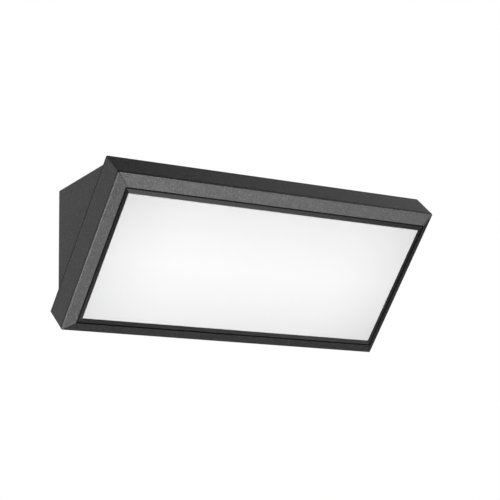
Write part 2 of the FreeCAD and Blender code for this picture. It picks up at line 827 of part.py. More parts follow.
def wall_bracket():
    """The steel plate on the wall, with two slots, a cable hole, and tabs that the housing slides over."""
    level = ("-bracket_thickness", "0")
    plate = box("bracket_plate", ("-bracket_half_width", "bracket_half_width"), level,
                ("bracket_foot", "bracket_top"))
    tab_levels = (("bracket_top - bracket_thickness", "bracket_top"),
                  ("bracket_foot", "bracket_foot + bracket_thickness"))
    bends = (("bracket_top - bracket_thickness - tab_bend", "0"),
             ("bracket_foot + bracket_thickness", "tab_bend"))
    tabs = []
    ways = [rod("cable_way", "y", ("0", "0"), past(*level), "cable_hole")]
    for x in ("-tab_middle", "tab_middle"):
        across = (f"{x} - tab_half_width", f"{x} + tab_half_width")
        tabs += [box("tab", across, ("-tab_reach", "0"), tab_level) for tab_level in tab_levels]
        tabs += [bend(across, *ends) for ends in bends]
        ways.append(rod("lock_thread", "z", (x, "-lock_reach"), past(*tab_levels[0]),
                        "large_thread + thread_gap"))
    half = "(slot_length / 2 - slot_radius)"
    for x in ("-slot_pitch / 2", "slot_pitch / 2"):
        ways.append(box("slot_middle", (f"{x} - {half}", f"{x} + {half}"), past(*level),
                        ("-slot_radius", "slot_radius")))
        for side in "+-":
            ways.append(rod("slot_end", "y", (f"{x} {side} {half}", "0"), past(*level), "slot_radius"))
    return cut("wall_bracket", rounded_blank(fuse("bracket_blank", [plate] + tabs)), ways)


def bend(across, foot, centre_rise):
    """The inner radius where a tab is bent out of the plate."""
    front = "(-bracket_thickness - tab_bend)"
    filling = box("bend_filling", across, (front, "-bracket_thickness"), (foot, f"{foot} + tab_bend"))
    hollow = rod("bend_hollow", "x", (front, f"{foot} + {centre_rise}"), past(*across), "tab_bend")
    return cut("bend", filling, [hollow])


def rounded_blank(blank):
    """The bracket's blank with its plate's corners and its tabs' corners rounded."""
    doc.recompute()
    past_tabs = value("(tab_middle + tab_half_width + bracket_half_width) / 2")
    tab_midway = value("-(bracket_thickness + tab_reach) / 2")
    rounds = []
    for number, edge in enumerate(blank.Shape.Edges, start=1):
        run = edge.Vertexes[1].Point - edge.Vertexes[0].Point
        middle = edge.BoundBox.Center
        if abs(run.y) > run.Length / 2 and abs(middle.x) > past_tabs:
            radius = value("bracket_corner")
        elif abs(run.z) > run.Length / 2 and middle.y < tab_midway:
            radius = value("tab_corner")
        else:
            continue
        rounds.append((number, radius, radius))
    rounded = doc.addObject("Part::Fillet", "bracket_rounded")
    rounded.Base = blank
    rounded.Edges = rounds
    return rounded


def lock_washer(side, x):
    centre = (x, "-lock_reach")
    level = ("washer_up", "lock_head_up")
    disc = rod(f"{side}_washer_disc", "z", centre, level, "washer_radius")
    hole = rod(f"{side}_washer_hole", "z", centre, past(*level), "large_thread + washer_hole_gap")
    return cut(f"{side}_lock_washer", disc, [hole])


def lock_screw(side, x):
    return screw(f"{side}_lock_screw", "z", (x, "-lock_reach"), "lock_head_up", "lock_length", "large", 1)


# Where the four leads leave the driver's right end, as distances out and up
DRIVER_LEADS = [("inner_boss_out + ear_thickness + 2 * lead_radius",
                 f"driver_up + {steps} * driver_lead_pitch") for steps in (2.5, 1.5, -1.5, -2.5)]

# The ears of the driver and of the terminal strip lie on their bosses between these two levels
EAR_LEVEL = ("-inner_boss_out - ear_thickness", "-inner_boss_out")
EAR_HEIGHT = ("driver_up - ear_half_height", "driver_up + ear_half_height")


def ear_holes(spots):
    return [rod("ear_hole", "y", spot, past(*EAR_LEVEL), "small_thread + small_clearance") for spot in spots]


def driver_case():
    """The moulded tray of the driver, open to the front, with an ear at each end."""
    tray = box("driver_tray", ("driver_low", "driver_high"), ("-driver_front", "-chamber_out"),
               ("driver_up - driver_half_height", "driver_up + driver_half_height"))
    ears = [box("driver_ear_tab", span, EAR_LEVEL, EAR_HEIGHT)
            for span in (("driver_low - driver_ear", "driver_low"),
                         ("driver_high", "driver_high + driver_ear"))]
    end_wall = ("driver_high - driver_wall", "driver_high")
    hollow = box("driver_hollow", ("driver_low + driver_wall", end_wall[0]),
                 ("-driver_front - overrun", "-chamber_out - driver_wall"),
                 ("driver_up + driver_wall - driver_half_height",
                  "driver_up + driver_half_height - driver_wall"))
    ways = [rod("lead_way", "x", (f"-({out})", up), past(*end_wall), "lead_radius + lead_hole_gap")
            for out, up in DRIVER_LEADS]
    return cut("driver_case", fuse("driver_blank", [tray] + ears), [hollow] + ear_holes(DRIVER_EARS) + ways)


def driver_cover():
    """The lid: a flat plate on the tray's rim with a shallow plug that centres it."""
    lid = box("driver_lid", ("driver_low", "driver_high"), ("-driver_front - driver_wall", "-driver_front"),
              ("driver_up - driver_half_height", "driver_up + driver_half_height"))
    inset = "(driver_wall + driver_cover_gap)"
    plug = box("driver_plug", (f"driver_low + {inset}", f"driver_high - {inset}"),
               ("-driver_front", "driver_wall - driver_front"),
               (f"driver_up - driver_half_height + {inset}", f"driver_up + driver_half_height - {inset}"))
    return fuse("driver_cover", [lid, plug])


def driver_board():
    """The circuit board on four short posts that stand on the tray's floor."""
    inset = "(driver_wall + driver_board_gap)"
    sheet = box("driver_sheet", (f"driver_low + {inset}", f"driver_high - {inset}"),
                ("-driver_board_out - board_thickness", "-driver_board_out"),
                (f"driver_up - driver_half_height + {inset}", f"driver_up + driver_half_height - {inset}"))
    posts = [rod("driver_post", "y", (x, z), ("-driver_board_out", "-chamber_out - driver_wall"),
                 "small_thread")
             for x in ("driver_low + driver_ear", "driver_high - driver_ear")
             for z in ("driver_up - driver_half_height / 2", "driver_up + driver_half_height / 2")]
    return fuse("driver_board", [sheet] + posts)


def driver_parts():
    """The transformer, two capacitors and a choke on the driver's board."""
    face = "-driver_board_out - board_thickness"
    core = box("transformer", ("driver_middle - core_length / 2", "driver_middle + core_length / 2"),
               (f"{face} - core_height", face),
               ("driver_up - core_half_width", "driver_up + core_half_width"))
    cans = [rod("capacitor", "x", (f"{face} - can_radius", "driver_up"), span, "can_radius")
            for span in (("driver_middle - can_head", "driver_middle - can_foot"),
                         ("driver_middle + can_foot", "driver_middle + can_head"))]
    choke_middle = "driver_middle + core_length / 2 + choke_radius + driver_board_gap"
    choke = rod("choke", "y", (choke_middle, "driver_up"), (f"{face} - choke_height", face), "choke_radius")
    return group("driver_parts", [core, choke] + cans)


TERMINAL_POLES = [f"(terminal_reach + terminal_pitch * {step + 0.5})" for step in range(3)]
TERMINAL_SCREW_ROWS = [f"driver_up {side} (terminal_half_height - terminal_screw_inset)" for side in "-+"]
TERMINAL_HEIGHT = ("driver_up - terminal_half_height", "driver_up + terminal_half_height")


def terminal_block():
    """The three-way moulded terminal strip, with a tube way and two screw wells for each pole."""
    strip = box("terminal_strip", ("terminal_reach", "terminal_high"), ("-terminal_front", "-chamber_out"),
                TERMINAL_HEIGHT)
    ear = box("terminal_ear_tab", ("terminal_high", "terminal_high + terminal_ear"), EAR_LEVEL, EAR_HEIGHT)
    ways = ear_holes(TERMINAL_EAR)
    for x in TERMINAL_POLES:
        ways.append(rod("pole_way", "z", (x, "-terminal_tube_out"), past(*TERMINAL_HEIGHT),
                        "terminal_tube + thread_gap"))
        ways += [rod("pole_well", "y", (x, up), ("-terminal_front - overrun", "-terminal_tube_out"),
                     "terminal_screw_well") for up in TERMINAL_SCREW_ROWS]
    return cut("terminal_block", fuse("terminal_blank", [strip, ear]), ways)


def terminal_tubes():
    """A brass tube in each pole, cross-drilled for its two screws."""
    tubes = []
    for x in TERMINAL_POLES:
        centre = (x, "-terminal_tube_out")
        tube = rod("pole_tube", "z", centre, TERMINAL_HEIGHT, "terminal_tube")
        bore = rod("pole_bore", "z", centre, past(*TERMINAL_HEIGHT), "terminal_bore")
        taps = [rod("pole_tap", "y", (x, up), ("-terminal_tube_out - terminal_tube - overrun",
                                               "-terminal_tube_out"), "terminal_screw + thread_gap")
                for up in TERMINAL_SCREW_ROWS]
        tubes.append(cut("pole_sleeve", tube, [bore] + taps))
    return group("terminal_tubes", tubes)


def terminal_screws():
    """Slotted grub screws, two a pole, each standing in its well down to the tube's bore."""
    head = "terminal_screw_inset / 2 - terminal_front"
    foot = "-terminal_tube_out - terminal_bore"
    grubs = []
    for x in TERMINAL_POLES:
        for up in TERMINAL_SCREW_ROWS:
            stem = rod("grub_stem", "y", (x, up), (head, foot), "terminal_screw")
            slot = box("grub_slot", (f"{x} - terminal_screw", f"{x} + terminal_screw"),
                       (f"{head} - overrun", f"{head} + terminal_screw / 2"),
                       (f"{up} - terminal_screw / 4", f"{up} + terminal_screw / 4"))
            grubs.append(cut("grub", stem, [slot]))
    return group("terminal_screws", grubs)


def cable_clamp():
    """A moulded bar with a saddle on its underside that holds the supply cable to the back wall."""
    reach = "(clamp_span + clamp_end)"
    across = ("clamp_reach - clamp_half_width", "clamp_reach + clamp_half_width")
    front = "-inner_boss_out - clamp_thickness"
    bar = box("clamp_bar", across, (front, "-inner_boss_out"), (f"-{reach}", reach))
    saddle = rod("clamp_saddle", "x", ("-inner_boss_out", "0"), past(*across), "cable_radius")
    seats = [box("clamp_seat", past(*across), (f"{front} - overrun", EAR_LEVEL[0]), span)
             for span in ((f"-{reach} - overrun", "inner_boss_radius - clamp_span"),
                          ("clamp_span - inner_boss_radius", f"{reach} + overrun"))]
    return cut("cable_clamp", bar, [saddle] + seats + ear_holes(CLAMP_ENDS))


def inner_screws():
    """Equal screws through the driver's two ears, the terminal's ear and the clamp's two ends."""
    return screw_set("inner_screws", "y", INNER_BOSSES, EAR_LEVEL[0], "small", -1)


def earth_lug():
    """A tinned ring terminal under the earth screw, its tail upwards and its barrel round the earth lead."""
    level = ("-inner_boss_out - lug_thickness", "-inner_boss_out")
    top = "driver_up + lug_tail"
    eye = rod("lug_eye", "y", EARTH_POINT, level, "lug_radius")
    tail = box("lug_tail_strip", ("earth_reach - lug_tail_half_width", "earth_reach + lug_tail_half_width"),
               level, ("driver_up", top))
    barrel = rod("lug_barrel_tube", "z", ("earth_reach", "-inner_boss_out - lug_thickness / 2"),
                 (top, f"{top} + lug_barrel"), "lug_barrel_radius")
    hole = rod("lug_hole", "y", EARTH_POINT, past(*level), "large_thread + washer_hole_gap")
    return cut("earth_lug", fuse("lug_blank", [eye, tail, barrel]), [hole])


def earth_screw():
    return screw("earth_screw", "y", EARTH_POINT, "-inner_boss_out - lug_thickness", "earth_screw_length",
                 "large", -1)


# Each arc of a lead takes this share of the shorter of its two runs; the tube's volume may differ by
# the second share from its section times its length.
ARC_SHARE = 0.45
VOLUME_SHARE = 0.01


def lead(name, route):
    """A single lead as a round tube: straight runs joined by tangent arcs, checked by its volume."""
    radius = value("lead_radius")
    corners = [V(*place) for place in route]
    edges = []
    radii = []
    here = corners[0]
    for before, corner, after in zip(corners, corners[1:], corners[2:]):
        inward = (corner - before).normalize()
        onward = (after - corner).normalize()
        half_turn = inward.getAngle(onward) / 2
        reach = min((corner - before).Length, (after - corner).Length) * ARC_SHARE
        bend = reach / math.tan(half_turn)
        inside = (onward - inward).normalize()
        middle = corner + inside * (bend / math.cos(half_turn) - bend)
        entry = corner - inward * reach
        leave = corner + onward * reach
        edges.append(Part.LineSegment(here, entry).toShape())
        edges.append(Part.Arc(entry, middle, leave).toShape())
        radii.append(round(bend, 1))
        here = leave
    edges.append(Part.LineSegment(here, corners[-1]).toShape())
    path = Part.Wire(edges)
    section = Part.Wire(Part.Circle(corners[0], corners[1] - corners[0], radius).toShape())
    tube = path.makePipeShell([section], True, False)
    expected = path.Length * math.pi * radius ** 2
    if abs(tube.Volume - expected) > expected * VOLUME_SHARE:
        raise ValueError(f"the tube of {name} has the wrong volume")
    print(name, "length", round(path.Length, 1), "radii", radii)
    piece = doc.addObject("Part::Feature", name)
    piece.Shape = tube
    return piece


def point(x, y, z):
    return (value(x), value(y), value(z))


def driver_exit(number):
    out, up = DRIVER_LEADS[number]
    return point("driver_high - driver_wall", f"-({out})", up)


def pole_top(number):
    return point(TERMINAL_POLES[number], "-terminal_tube_out",
                 "driver_up + terminal_half_height - terminal_screw_inset")


def connector_foot(side):
    """Where a lead meets the lamp connector, straight through the grommet behind it."""
    return point(f"lead_hole_reach + {side} * lead_pair", *on_head("0", "board_front"))


# The route points between a lead's ends, in world X, Y and Z, chosen along the chamber's free space
LIVE_ROUTE = [(-15.0, -22.4, 24.8), (-5.0, -22.6, 26.2), (4.0, -23.0, 28.6), (14.0, -23.4, 33.0),
              (25.0, -23.2, 36.5), (34.5, -23.0, 34.0), (39.0, -23.0, 26.0)]
NEUTRAL_ROUTE = [(-15.0, -22.8, 20.2), (-1.0, -25.2, 23.4), (13.0, -26.6, 29.4), (27.0, -26.8, 34.0),
                 (38.0, -25.6, 36.6), (46.0, -23.8, 34.0), (49.0, -23.0, 26.0)]
EARTH_ROUTE = [(59.0, -23.0, 26.0), (62.5, -22.6, 34.0), (71.0, -21.8, 36.6), (78.0, -21.0, 37.0),
               (86.0, -20.0, 36.4), (95.3, -19.1, 35.1), (101.0, -18.9, 29.4)]
LAMP_PLUS_ROUTE = [(-15.0, -22.8, 5.6), (-1.0, -24.8, 2.6), (14.0, -26.4, -1.6), (30.0, -26.8, -4.0),
                   (46.0, -26.8, -4.6), (62.0, -26.4, -3.2), (78.0, -26.6, 0.2), (88.0, -27.2, 3.6),
                   (96.0, -28.6, 6.0), (104.0, -31.8, 6.8), (109.5, -38.0, 3.6), (110.2, -45.28, -2.9)]
LAMP_MINUS_ROUTE = [(-15.0, -23.0, 0.4), (-1.0, -25.2, -2.8), (14.0, -26.8, -7.4), (30.0, -27.2, -9.8),
                    (46.0, -27.2, -10.2), (62.0, -26.8, -8.8), (78.0, -26.8, -5.4), (90.0, -28.0, -1.8),
                    (100.0, -31.4, 0.8), (106.2, -37.6, 2.0), (107.8, -45.28, -2.9)]


def leads():
    """The five single leads inside the housing: supply, earth, and the pair to the lamp board."""
    lug_top = point("earth_reach", "-inner_boss_out - lug_thickness / 2", "driver_up + lug_tail + lug_barrel")
    routes = {"live_lead": [driver_exit(0), *LIVE_ROUTE, pole_top(0)],
              "neutral_lead": [driver_exit(1), *NEUTRAL_ROUTE, pole_top(1)],
              "earth_lead": [pole_top(2), *EARTH_ROUTE, lug_top],
              "lamp_plus_lead": [driver_exit(2), *LAMP_PLUS_ROUTE, connector_foot("1")],
              "lamp_minus_lead": [driver_exit(3), *LAMP_MINUS_ROUTE, connector_foot("(-1)")]}
    return [lead(name, route) for name, route in routes.items()]


PIECES = [front_frame, diffuser, diffuser_seal, housing_gasket, reflector, lamp_plate, thermal_pad,
          lamp_board, lamp_chips, lamp_connector, lead_grommet, frame_screws, plate_screws, board_screws,
          housing, cable_grommet, wall_bracket, driver_case, driver_cover, driver_board, driver_parts,
          terminal_block, terminal_tubes, terminal_screws, cable_clamp, inner_screws, earth_lug, earth_screw]

nodes = [make() for make in PIECES] + leads()
for side, x in (("left", "-tab_middle"), ("right", "tab_middle")):
    nodes.append(lock_washer(side, x))
    nodes.append(lock_screw(side, x))
doc.recompute()

for thing in doc.Objects:
    if "Invalid" in thing.State or "Error" in thing.State:
        raise ValueError(f"{thing.Label} did not compute: {thing.State}")
for node in nodes:
    if node.Shape.isNull() or not node.Shape.isValid():
        raise ValueError(f"{node.Label} has no valid shape")

os.makedirs("parts", exist_ok=True)
for node in nodes:
    node.Shape.exportStep(f"parts/{node.Label}.step")
    print(node.Label, len(node.Shape.Solids), "solids", round(node.Shape.Volume, 1))
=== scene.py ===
import math

import bmesh
import bpy
from mathutils import Matrix, Vector


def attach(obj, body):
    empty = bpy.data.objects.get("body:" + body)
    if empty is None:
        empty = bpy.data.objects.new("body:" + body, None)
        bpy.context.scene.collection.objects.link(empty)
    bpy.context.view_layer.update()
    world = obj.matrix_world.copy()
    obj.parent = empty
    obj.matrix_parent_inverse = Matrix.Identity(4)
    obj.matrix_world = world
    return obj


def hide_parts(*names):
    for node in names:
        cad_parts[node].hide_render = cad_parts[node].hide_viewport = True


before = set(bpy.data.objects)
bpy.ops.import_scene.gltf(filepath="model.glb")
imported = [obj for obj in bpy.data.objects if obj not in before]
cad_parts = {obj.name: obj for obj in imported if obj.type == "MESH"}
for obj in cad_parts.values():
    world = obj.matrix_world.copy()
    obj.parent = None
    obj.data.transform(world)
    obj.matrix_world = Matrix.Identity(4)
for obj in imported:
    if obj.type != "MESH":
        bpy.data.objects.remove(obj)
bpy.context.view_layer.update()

# Outdoor wall light, taken from the wall outwards: bracket, locking screws, housing and what is in it,
# lamp plate and board, opal panel, and the bevelled frame. Metres throughout. X runs right along the
# wall, Y into it and Z up. The tilted front is drawn in its own frame: x right, y up along the front,
# z out of it.


# Photographer's place
# The light is seen from below and from its left, by a long lens about 1.25 m away, a little off level.
turned_left, looking_up, rolled = (math.radians(angle) for angle in (33.588, 11.129, -0.952))
lens_place = Vector((-0.65572, -1.04282, -0.23412))
towards_camera = Vector((-math.sin(turned_left) * math.cos(looking_up),
                         -math.cos(turned_left) * math.cos(looking_up), -math.sin(looking_up)))
level_right = (-towards_camera).cross(Vector((0, 0, 1))).normalized()
level_up = level_right.cross(-towards_camera)
lens_right = level_right * math.cos(rolled) + level_up * math.sin(rolled)
lens_up = level_up * math.cos(rolled) - level_right * math.sin(rolled)
lens = bpy.data.cameras.new("long_lens")
lens.lens = 114.86
lens.sensor_width = 36
camera = bpy.data.objects.new("long_lens", lens)
camera.matrix_world = Matrix((
    (lens_right.x, lens_up.x, towards_camera.x, lens_place.x),
    (lens_right.y, lens_up.y, towards_camera.y, lens_place.y),
    (lens_right.z, lens_up.z, towards_camera.z, lens_place.z),
    (0, 0, 0, 1)))
bpy.context.scene.collection.objects.link(camera)
bpy.context.scene.camera = camera


# Wall bracket
# A 2 mm steel plate, punched and bent, that is screwed to the wall through its two slots. It is
# zinc plated, so it is bright and slightly mottled, with the crystals of the zinc showing.
class Wire:
    """An output in a finish's nodes. Sums written with it add their Math nodes."""

    def __init__(self, finish, socket):
        self.finish = finish
        self.socket = socket

    def _sum(self, operation, first, second):
        return self.finish.node("Math", {"operation": operation}, {0: first, 1: second})

    def __add__(self, other):
        return self._sum("ADD", self, other)

    def __sub__(self, other):
        return self._sum("SUBTRACT", self, other)

    def __rsub__(self, other):
        return self._sum("SUBTRACT", other, self)

    def __mul__(self, other):
        return self._sum("MULTIPLY", self, other)

    def __truediv__(self, other):
        return self._sum("DIVIDE", self, other)

    def __rtruediv__(self, other):
        return self._sum("DIVIDE", other, self)

    __radd__ = __add__
    __rmul__ = __mul__


class Finish:
    """The nodes of one material."""

    def __init__(self, name):
        self.material = bpy.data.materials.new(name)
        self.material.use_nodes = True
        self.tree = self.material.node_tree
        self.tree.nodes.clear()

    def node(self, kind, settings=None, sockets=None, out=0):
        """Add a node: its settings first, then the values or wires of its sockets."""
        made = self.tree.nodes.new("ShaderNode" + kind)
        for name, setting in (settings or {}).items():
            if name == "stops":
                ramp = made.color_ramp.elements
                while len(ramp) < len(setting):
                    ramp.new(0.5)
                for stop, (place, shade) in zip(ramp, setting):
                    stop.position = place
                    stop.color = (shade, shade, shade, 1)
            else:
                setattr(made, name, setting)
        for name, given in (sockets or {}).items():
            if isinstance(given, Wire):
                self.tree.links.new(given.socket, made.inputs[name])
            else:
                made.inputs[name].default_value = given
        return Wire(self, made.outputs[out]) if made.outputs else None

    def place(self, turn=0.0, stretch=(1, 1, 1)):
        """The spot on the piece, turned about X and stretched where a pattern has a direction."""
        spot = self.node("TexCoord", out="Object")
        if turn == 0.0 and stretch == (1, 1, 1):
            return spot
        return self.node("Mapping", {"vector_type": "TEXTURE"},
                         {"Vector": spot, "Rotation": (turn, 0, 0), "Scale": stretch})

    def grain(self, size, detail=2.0, spot=None):
        """Soft noise whose features are about this size."""
        return self.node("TexNoise", {}, {"Vector": spot or self.place(), "Scale": 0.5 / size,
                                          "Detail": detail})

    def mix(self, share, first, second):
        """From the first colour to the second as the share goes from nought to one."""
        colours = [given if isinstance(given, Wire) else (*given, 1) for given in (first, second)]
        return self.node("Mix", {"data_type": "RGBA"}, {0: share, 6: colours[0], 7: colours[1]}, out=2)

    def relief(self, height, depth, strength=1.0):
        """The bumps of a height that runs from nought to one, this deep."""
        return self.node("Bump", {}, {"Height": height, "Distance": depth, "Strength": strength}, "Normal")

    def edges(self, width):
        """Nought on open faces, rising towards one along the edges, which some finishes draw lighter; in
        the textured paint that is a painted highlight.
        """
        softened = self.node("Bevel", {"samples": 4}, {"Radius": width})
        along = self.node("VectorMath", {"operation": "DOT_PRODUCT"},
                          {0: softened, 1: self.node("NewGeometry", out="Normal")}, out="Value")
        return self.node("Math", {"operation": "MULTIPLY", "use_clamp": True}, {0: 1 - along, 1: 3.0})

    def done(self, colour, roughness, metallic=0.0, normal=None, painted_shade=None, **more):
        """Finish with the shader, mixed towards a matt black diffuse as painted shade where a mask is
        given, and give back the material.
        """
        sockets = {"Base Color": colour, "Roughness": roughness, "Metallic": metallic}
        sockets.update({name.replace("_", " "): given for name, given in more.items()})
        if normal:
            sockets["Normal"] = normal
        shader = self.node("BsdfPrincipled", {}, sockets)
        # Painted shade: where a mask is given, the shader is mixed towards a matt black diffuse.
        if painted_shade:
            painted_shade_black = self.node("BsdfDiffuse", {}, {"Color": (0.008, 0.008, 0.0085, 1)})
            shader = self.node("MixShader", {}, {0: painted_shade, 1: shader, 2: painted_shade_black})
        self.node("OutputMaterial", {}, {"Surface": shader})
        return self.material


def dress(node, material):
    """Give a solid of the construction its finish."""
    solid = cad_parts[node]
    for slot in solid.material_slots:
        slot.link = "OBJECT"
        slot.material = material


def zinc_plate(name, crystal):
    """Zinc on steel: bright crystals in a grey field, with fine handling marks."""
    zinc = Finish(name)
    crystals = zinc.node("TexVoronoi", {"feature": "F1"}, {"Vector": zinc.place(), "Scale": 1 / crystal},
                         out="Color")
    tone = zinc.node("SeparateColor", {}, {"Color": crystals}, out="Red")
    cloud = zinc.grain(0.012, 3.0)
    marks = zinc.grain(0.0012, 2.0, zinc.place(stretch=(18, 1, 1)))
    plated = zinc.mix(tone * 0.6 + cloud * 0.4, (0.36, 0.385, 0.41), (0.60, 0.62, 0.635))
    colour = zinc.mix(zinc.edges(0.0004) * cloud, plated, (0.80, 0.81, 0.81))
    return zinc.done(colour, 0.26 + tone * 0.12 + cloud * 0.14, 1.0,
                     zinc.relief(marks + tone * 0.5, 0.00004, 0.5))


dress("wall_bracket", zinc_plate("zinc_plated_plate", 0.0045))


# Locking screws and their washers
# Two M4 socket screws with captive washers stand in the bracket's upper tabs and hold the housing
# down on it. Both are turned from stainless steel; the thread is rolled, 0.7 mm a turn.
AROUND = 24
M4_SCREW = {"radius": 0.002, "pitch": 0.0007, "head": 0.0038, "head_height": 0.0026,
            "key": 0.00145, "key_depth": 0.0015}


def shaped(name, faces_of):
    """A mesh object from a function that fills an empty bmesh, with its faces turned outwards."""
    work = bmesh.new()
    faces_of(work)
    bmesh.ops.remove_doubles(work, verts=work.verts, dist=1e-7)
    bmesh.ops.recalc_face_normals(work, faces=work.faces)
    mesh = bpy.data.meshes.new(name)
    work.to_mesh(mesh)
    work.free()
    mesh.shade_smooth()
    mesh.set_sharp_from_angle(angle=math.radians(32))
    piece = bpy.data.objects.new(name, mesh)
    bpy.context.scene.collection.objects.link(piece)
    return piece


def rings(work, outlines, around=AROUND, closed=False):
    """Skin a row of outlines, each a function from an angle to a radius and a height."""
    rows = []
    for outline in outlines:
        row = []
        for step in range(around):
            angle = 2 * math.pi * step / around
            radius, height = outline(angle)
            row.append(work.verts.new((radius * math.cos(angle), radius * math.sin(angle), height)))
        rows.append(row)
    if closed:
        rows.append(rows[0])
    for low, high in zip(rows, rows[1:]):
        for step in range(around):
            after = (step + 1) % around
            work.faces.new((low[step], low[after], high[after], high[step]))
    if not closed:
        work.faces.new(rows[0][::-1])
        work.faces.new(rows[-1])


def circle(radius, height):
    """A round outline, the same at every angle."""
    return lambda angle: (radius, height)


def hexagon(corner, height):
    """Six flats, measured to the corners."""
    def outline(angle):
        off_flat = (angle + 1e-9) % (math.pi / 3) - math.pi / 6
        return corner * math.cos(math.pi / 6) / math.cos(off_flat), height
    return outline


def thread(radius, depth, pitch, height):
    """One level of a rolled thread, whose ridge climbs by the pitch in a turn."""
    def outline(angle):
        share = (height / pitch - angle / (2 * math.pi)) % 1
        return radius - depth * min(1, max(0, 4 * abs(share - 0.5) - 0.5)), height
    return outline


def socket_screw(name, length, radius, pitch, head, head_height, key, key_depth):
    """A socket screw on Z with its head up, its seat at nought and its thread down to the tip."""
    depth = 0.55 * pitch
    point = 0.8 * pitch
    threaded = length - point - pitch
    levels = round(threaded / pitch * 6)
    core = radius - depth
    edge = 0.12 * head_height
    key_floor = head_height - key_depth
    shape = [circle(core - 0.3 * pitch, -length), circle(core, 0.4 * point - length)]
    shape += [thread(radius, depth, pitch, point - length + threaded * level / levels)
              for level in range(levels + 1)]
    shape += [circle(core, -pitch), circle(core, 0), circle(head - edge, 0),
              circle(head, 0.6 * edge), circle(head, head_height - 1.6 * edge),
              circle(head - 0.5 * edge, head_height - 0.5 * edge), circle(head - 1.6 * edge, head_height),
              circle(key * 1.16, head_height), hexagon(key, head_height - 0.5 * edge),
              hexagon(key, key_floor), circle(key * 0.45, key_floor - 0.25 * edge)]
    return shaped(name, lambda work: rings(work, shape))


def moved(piece, matrix):
    """Put a piece's mesh in its place, and give the piece back."""
    piece.data.transform(matrix)
    return piece


def turned_steel(name, tone, roughness):
    """Stainless steel with the fine marks that turning and rolling leave."""
    steel = Finish(name)
    marks = steel.grain(0.0004, 3.0, steel.place(stretch=(1, 1, 0.25)))
    cloud = steel.grain(0.003)
    colour = steel.mix(cloud, [0.82 * part for part in tone], tone)
    return steel.done(colour, roughness + marks * 0.12, 1.0, steel.relief(marks, 0.00002, 0.5))


stainless = turned_steel("stainless_steel", (0.60, 0.595, 0.58), 0.24)
lock_seat = Vector((0.08, -0.0055, 0.04128))
washer_outline = ((0.0022, -0.00078), (0.0022, -0.00004), (0.00232, -0.00002), (0.00432, -0.00002),
                  (0.0045, -0.00018), (0.0045, -0.00068), (0.0044, -0.0008), (0.0023, -0.0008))


def captive_washer(work):
    """A flat ring with its edges broken, whose top lies just under the screw's head."""
    rings(work, [circle(radius, height) for radius, height in washer_outline], 48, closed=True)


for side, across in (("left", -1), ("right", 1)):
    seat = Matrix.Translation((across * lock_seat.x, lock_seat.y, lock_seat.z))
    screw = moved(socket_screw(f"{side}_locking_screw", length=0.012, **M4_SCREW), seat)
    washer = moved(shaped(f"{side}_captive_washer", captive_washer), seat)
    for piece, part in ((screw, "screw"), (washer, "washer")):
        piece.data.materials.append(stainless)
        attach(piece, f"{side}_{part}")
        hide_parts(f"{side}_lock_{part}")


# Housing
# A wedge die-cast in aluminium, open towards the front. Its dark grey powder coat is sprayed on and
# baked; it has the speckle and the fine sandy relief of an outdoor texture paint, and a painted
# highlight along its edges.
def texture_paint(name, marks_of=None):
    """The coat. The marks, where given, are a smooth and nearly black border, how that falls away, a
    glossy rim, and the lines of painted shade."""
    paint = Finish(name)
    sand = paint.grain(0.0003, 2.0)
    speckle = paint.grain(0.0005, 1.5)
    peel = paint.grain(0.0022, 1.0)
    cloud = paint.grain(0.035, 2.0)
    # Light flecks in the coat's colour: partly the coat's own speckle, partly painted glints of its
    # sparkle.
    flecks_and_painted_glints = paint.node("ValToRGB", {"stops": [(0.50, 0.0), (0.68, 1.0)]}, {"Fac": speckle}, out="Color")
    coat = paint.mix(cloud, (0.0092, 0.0092, 0.0098), (0.0126, 0.0126, 0.0133))
    speckled = paint.mix(flecks_and_painted_glints, coat, (0.072, 0.072, 0.075))
    # Painted highlight: the coat's colour is drawn lighter along every edge.
    colour = paint.mix(paint.edges(0.0006), speckled, (0.040, 0.0405, 0.042))
    height = speckle + peel * 0.45 + sand * 0.35
    roughness = 0.27 + peel * 0.10 + sand * 0.14
    deep = 0.0003
    painted_shade = None
    if marks_of:
        # The last of the marks is a mask of painted shade, drawn as matt black.
        border, fall, rim, painted_shade = marks_of(paint)
        colour = paint.mix(border, colour, (0.0120, 0.0120, 0.0126))
        roughness = roughness * (1 - border) + border * 0.26
        roughness = roughness * (1 - rim) + rim * 0.14
        height = height * (1 - border * 0.7 - rim * 0.85) + fall * (1 / deep)
    return paint.done(colour, roughness, 0.0, paint.relief(height, deep, 0.85), painted_shade,
                      Specular_IOR_Level=0.8)


dark_paint = texture_paint("textured_dark_powder_coat")
dress("housing", dark_paint)


# Cable sleeve
# The supply cable is pushed through this soft rubber moulding, which snaps into the hole in the
# housing's back wall: two lips with the wall between them, and a ribbed nose towards the wall.
def soft_rubber(name, tone):
    """Rubber with a dull bloom on its skin."""
    rubber = Finish(name)
    bloom = rubber.grain(0.006, 3.0)
    skin = rubber.grain(0.0004, 2.0)
    colour = rubber.mix(bloom, [0.7 * part for part in tone], tone)
    return rubber.done(colour, 0.62 + bloom * 0.22, 0.0, rubber.relief(skin, 0.00003, 0.5))


def in_mm(levels):
    """The same rows of sizes, given in millimetres, in metres."""
    return [tuple(size / 1000 for size in level) for level in levels]


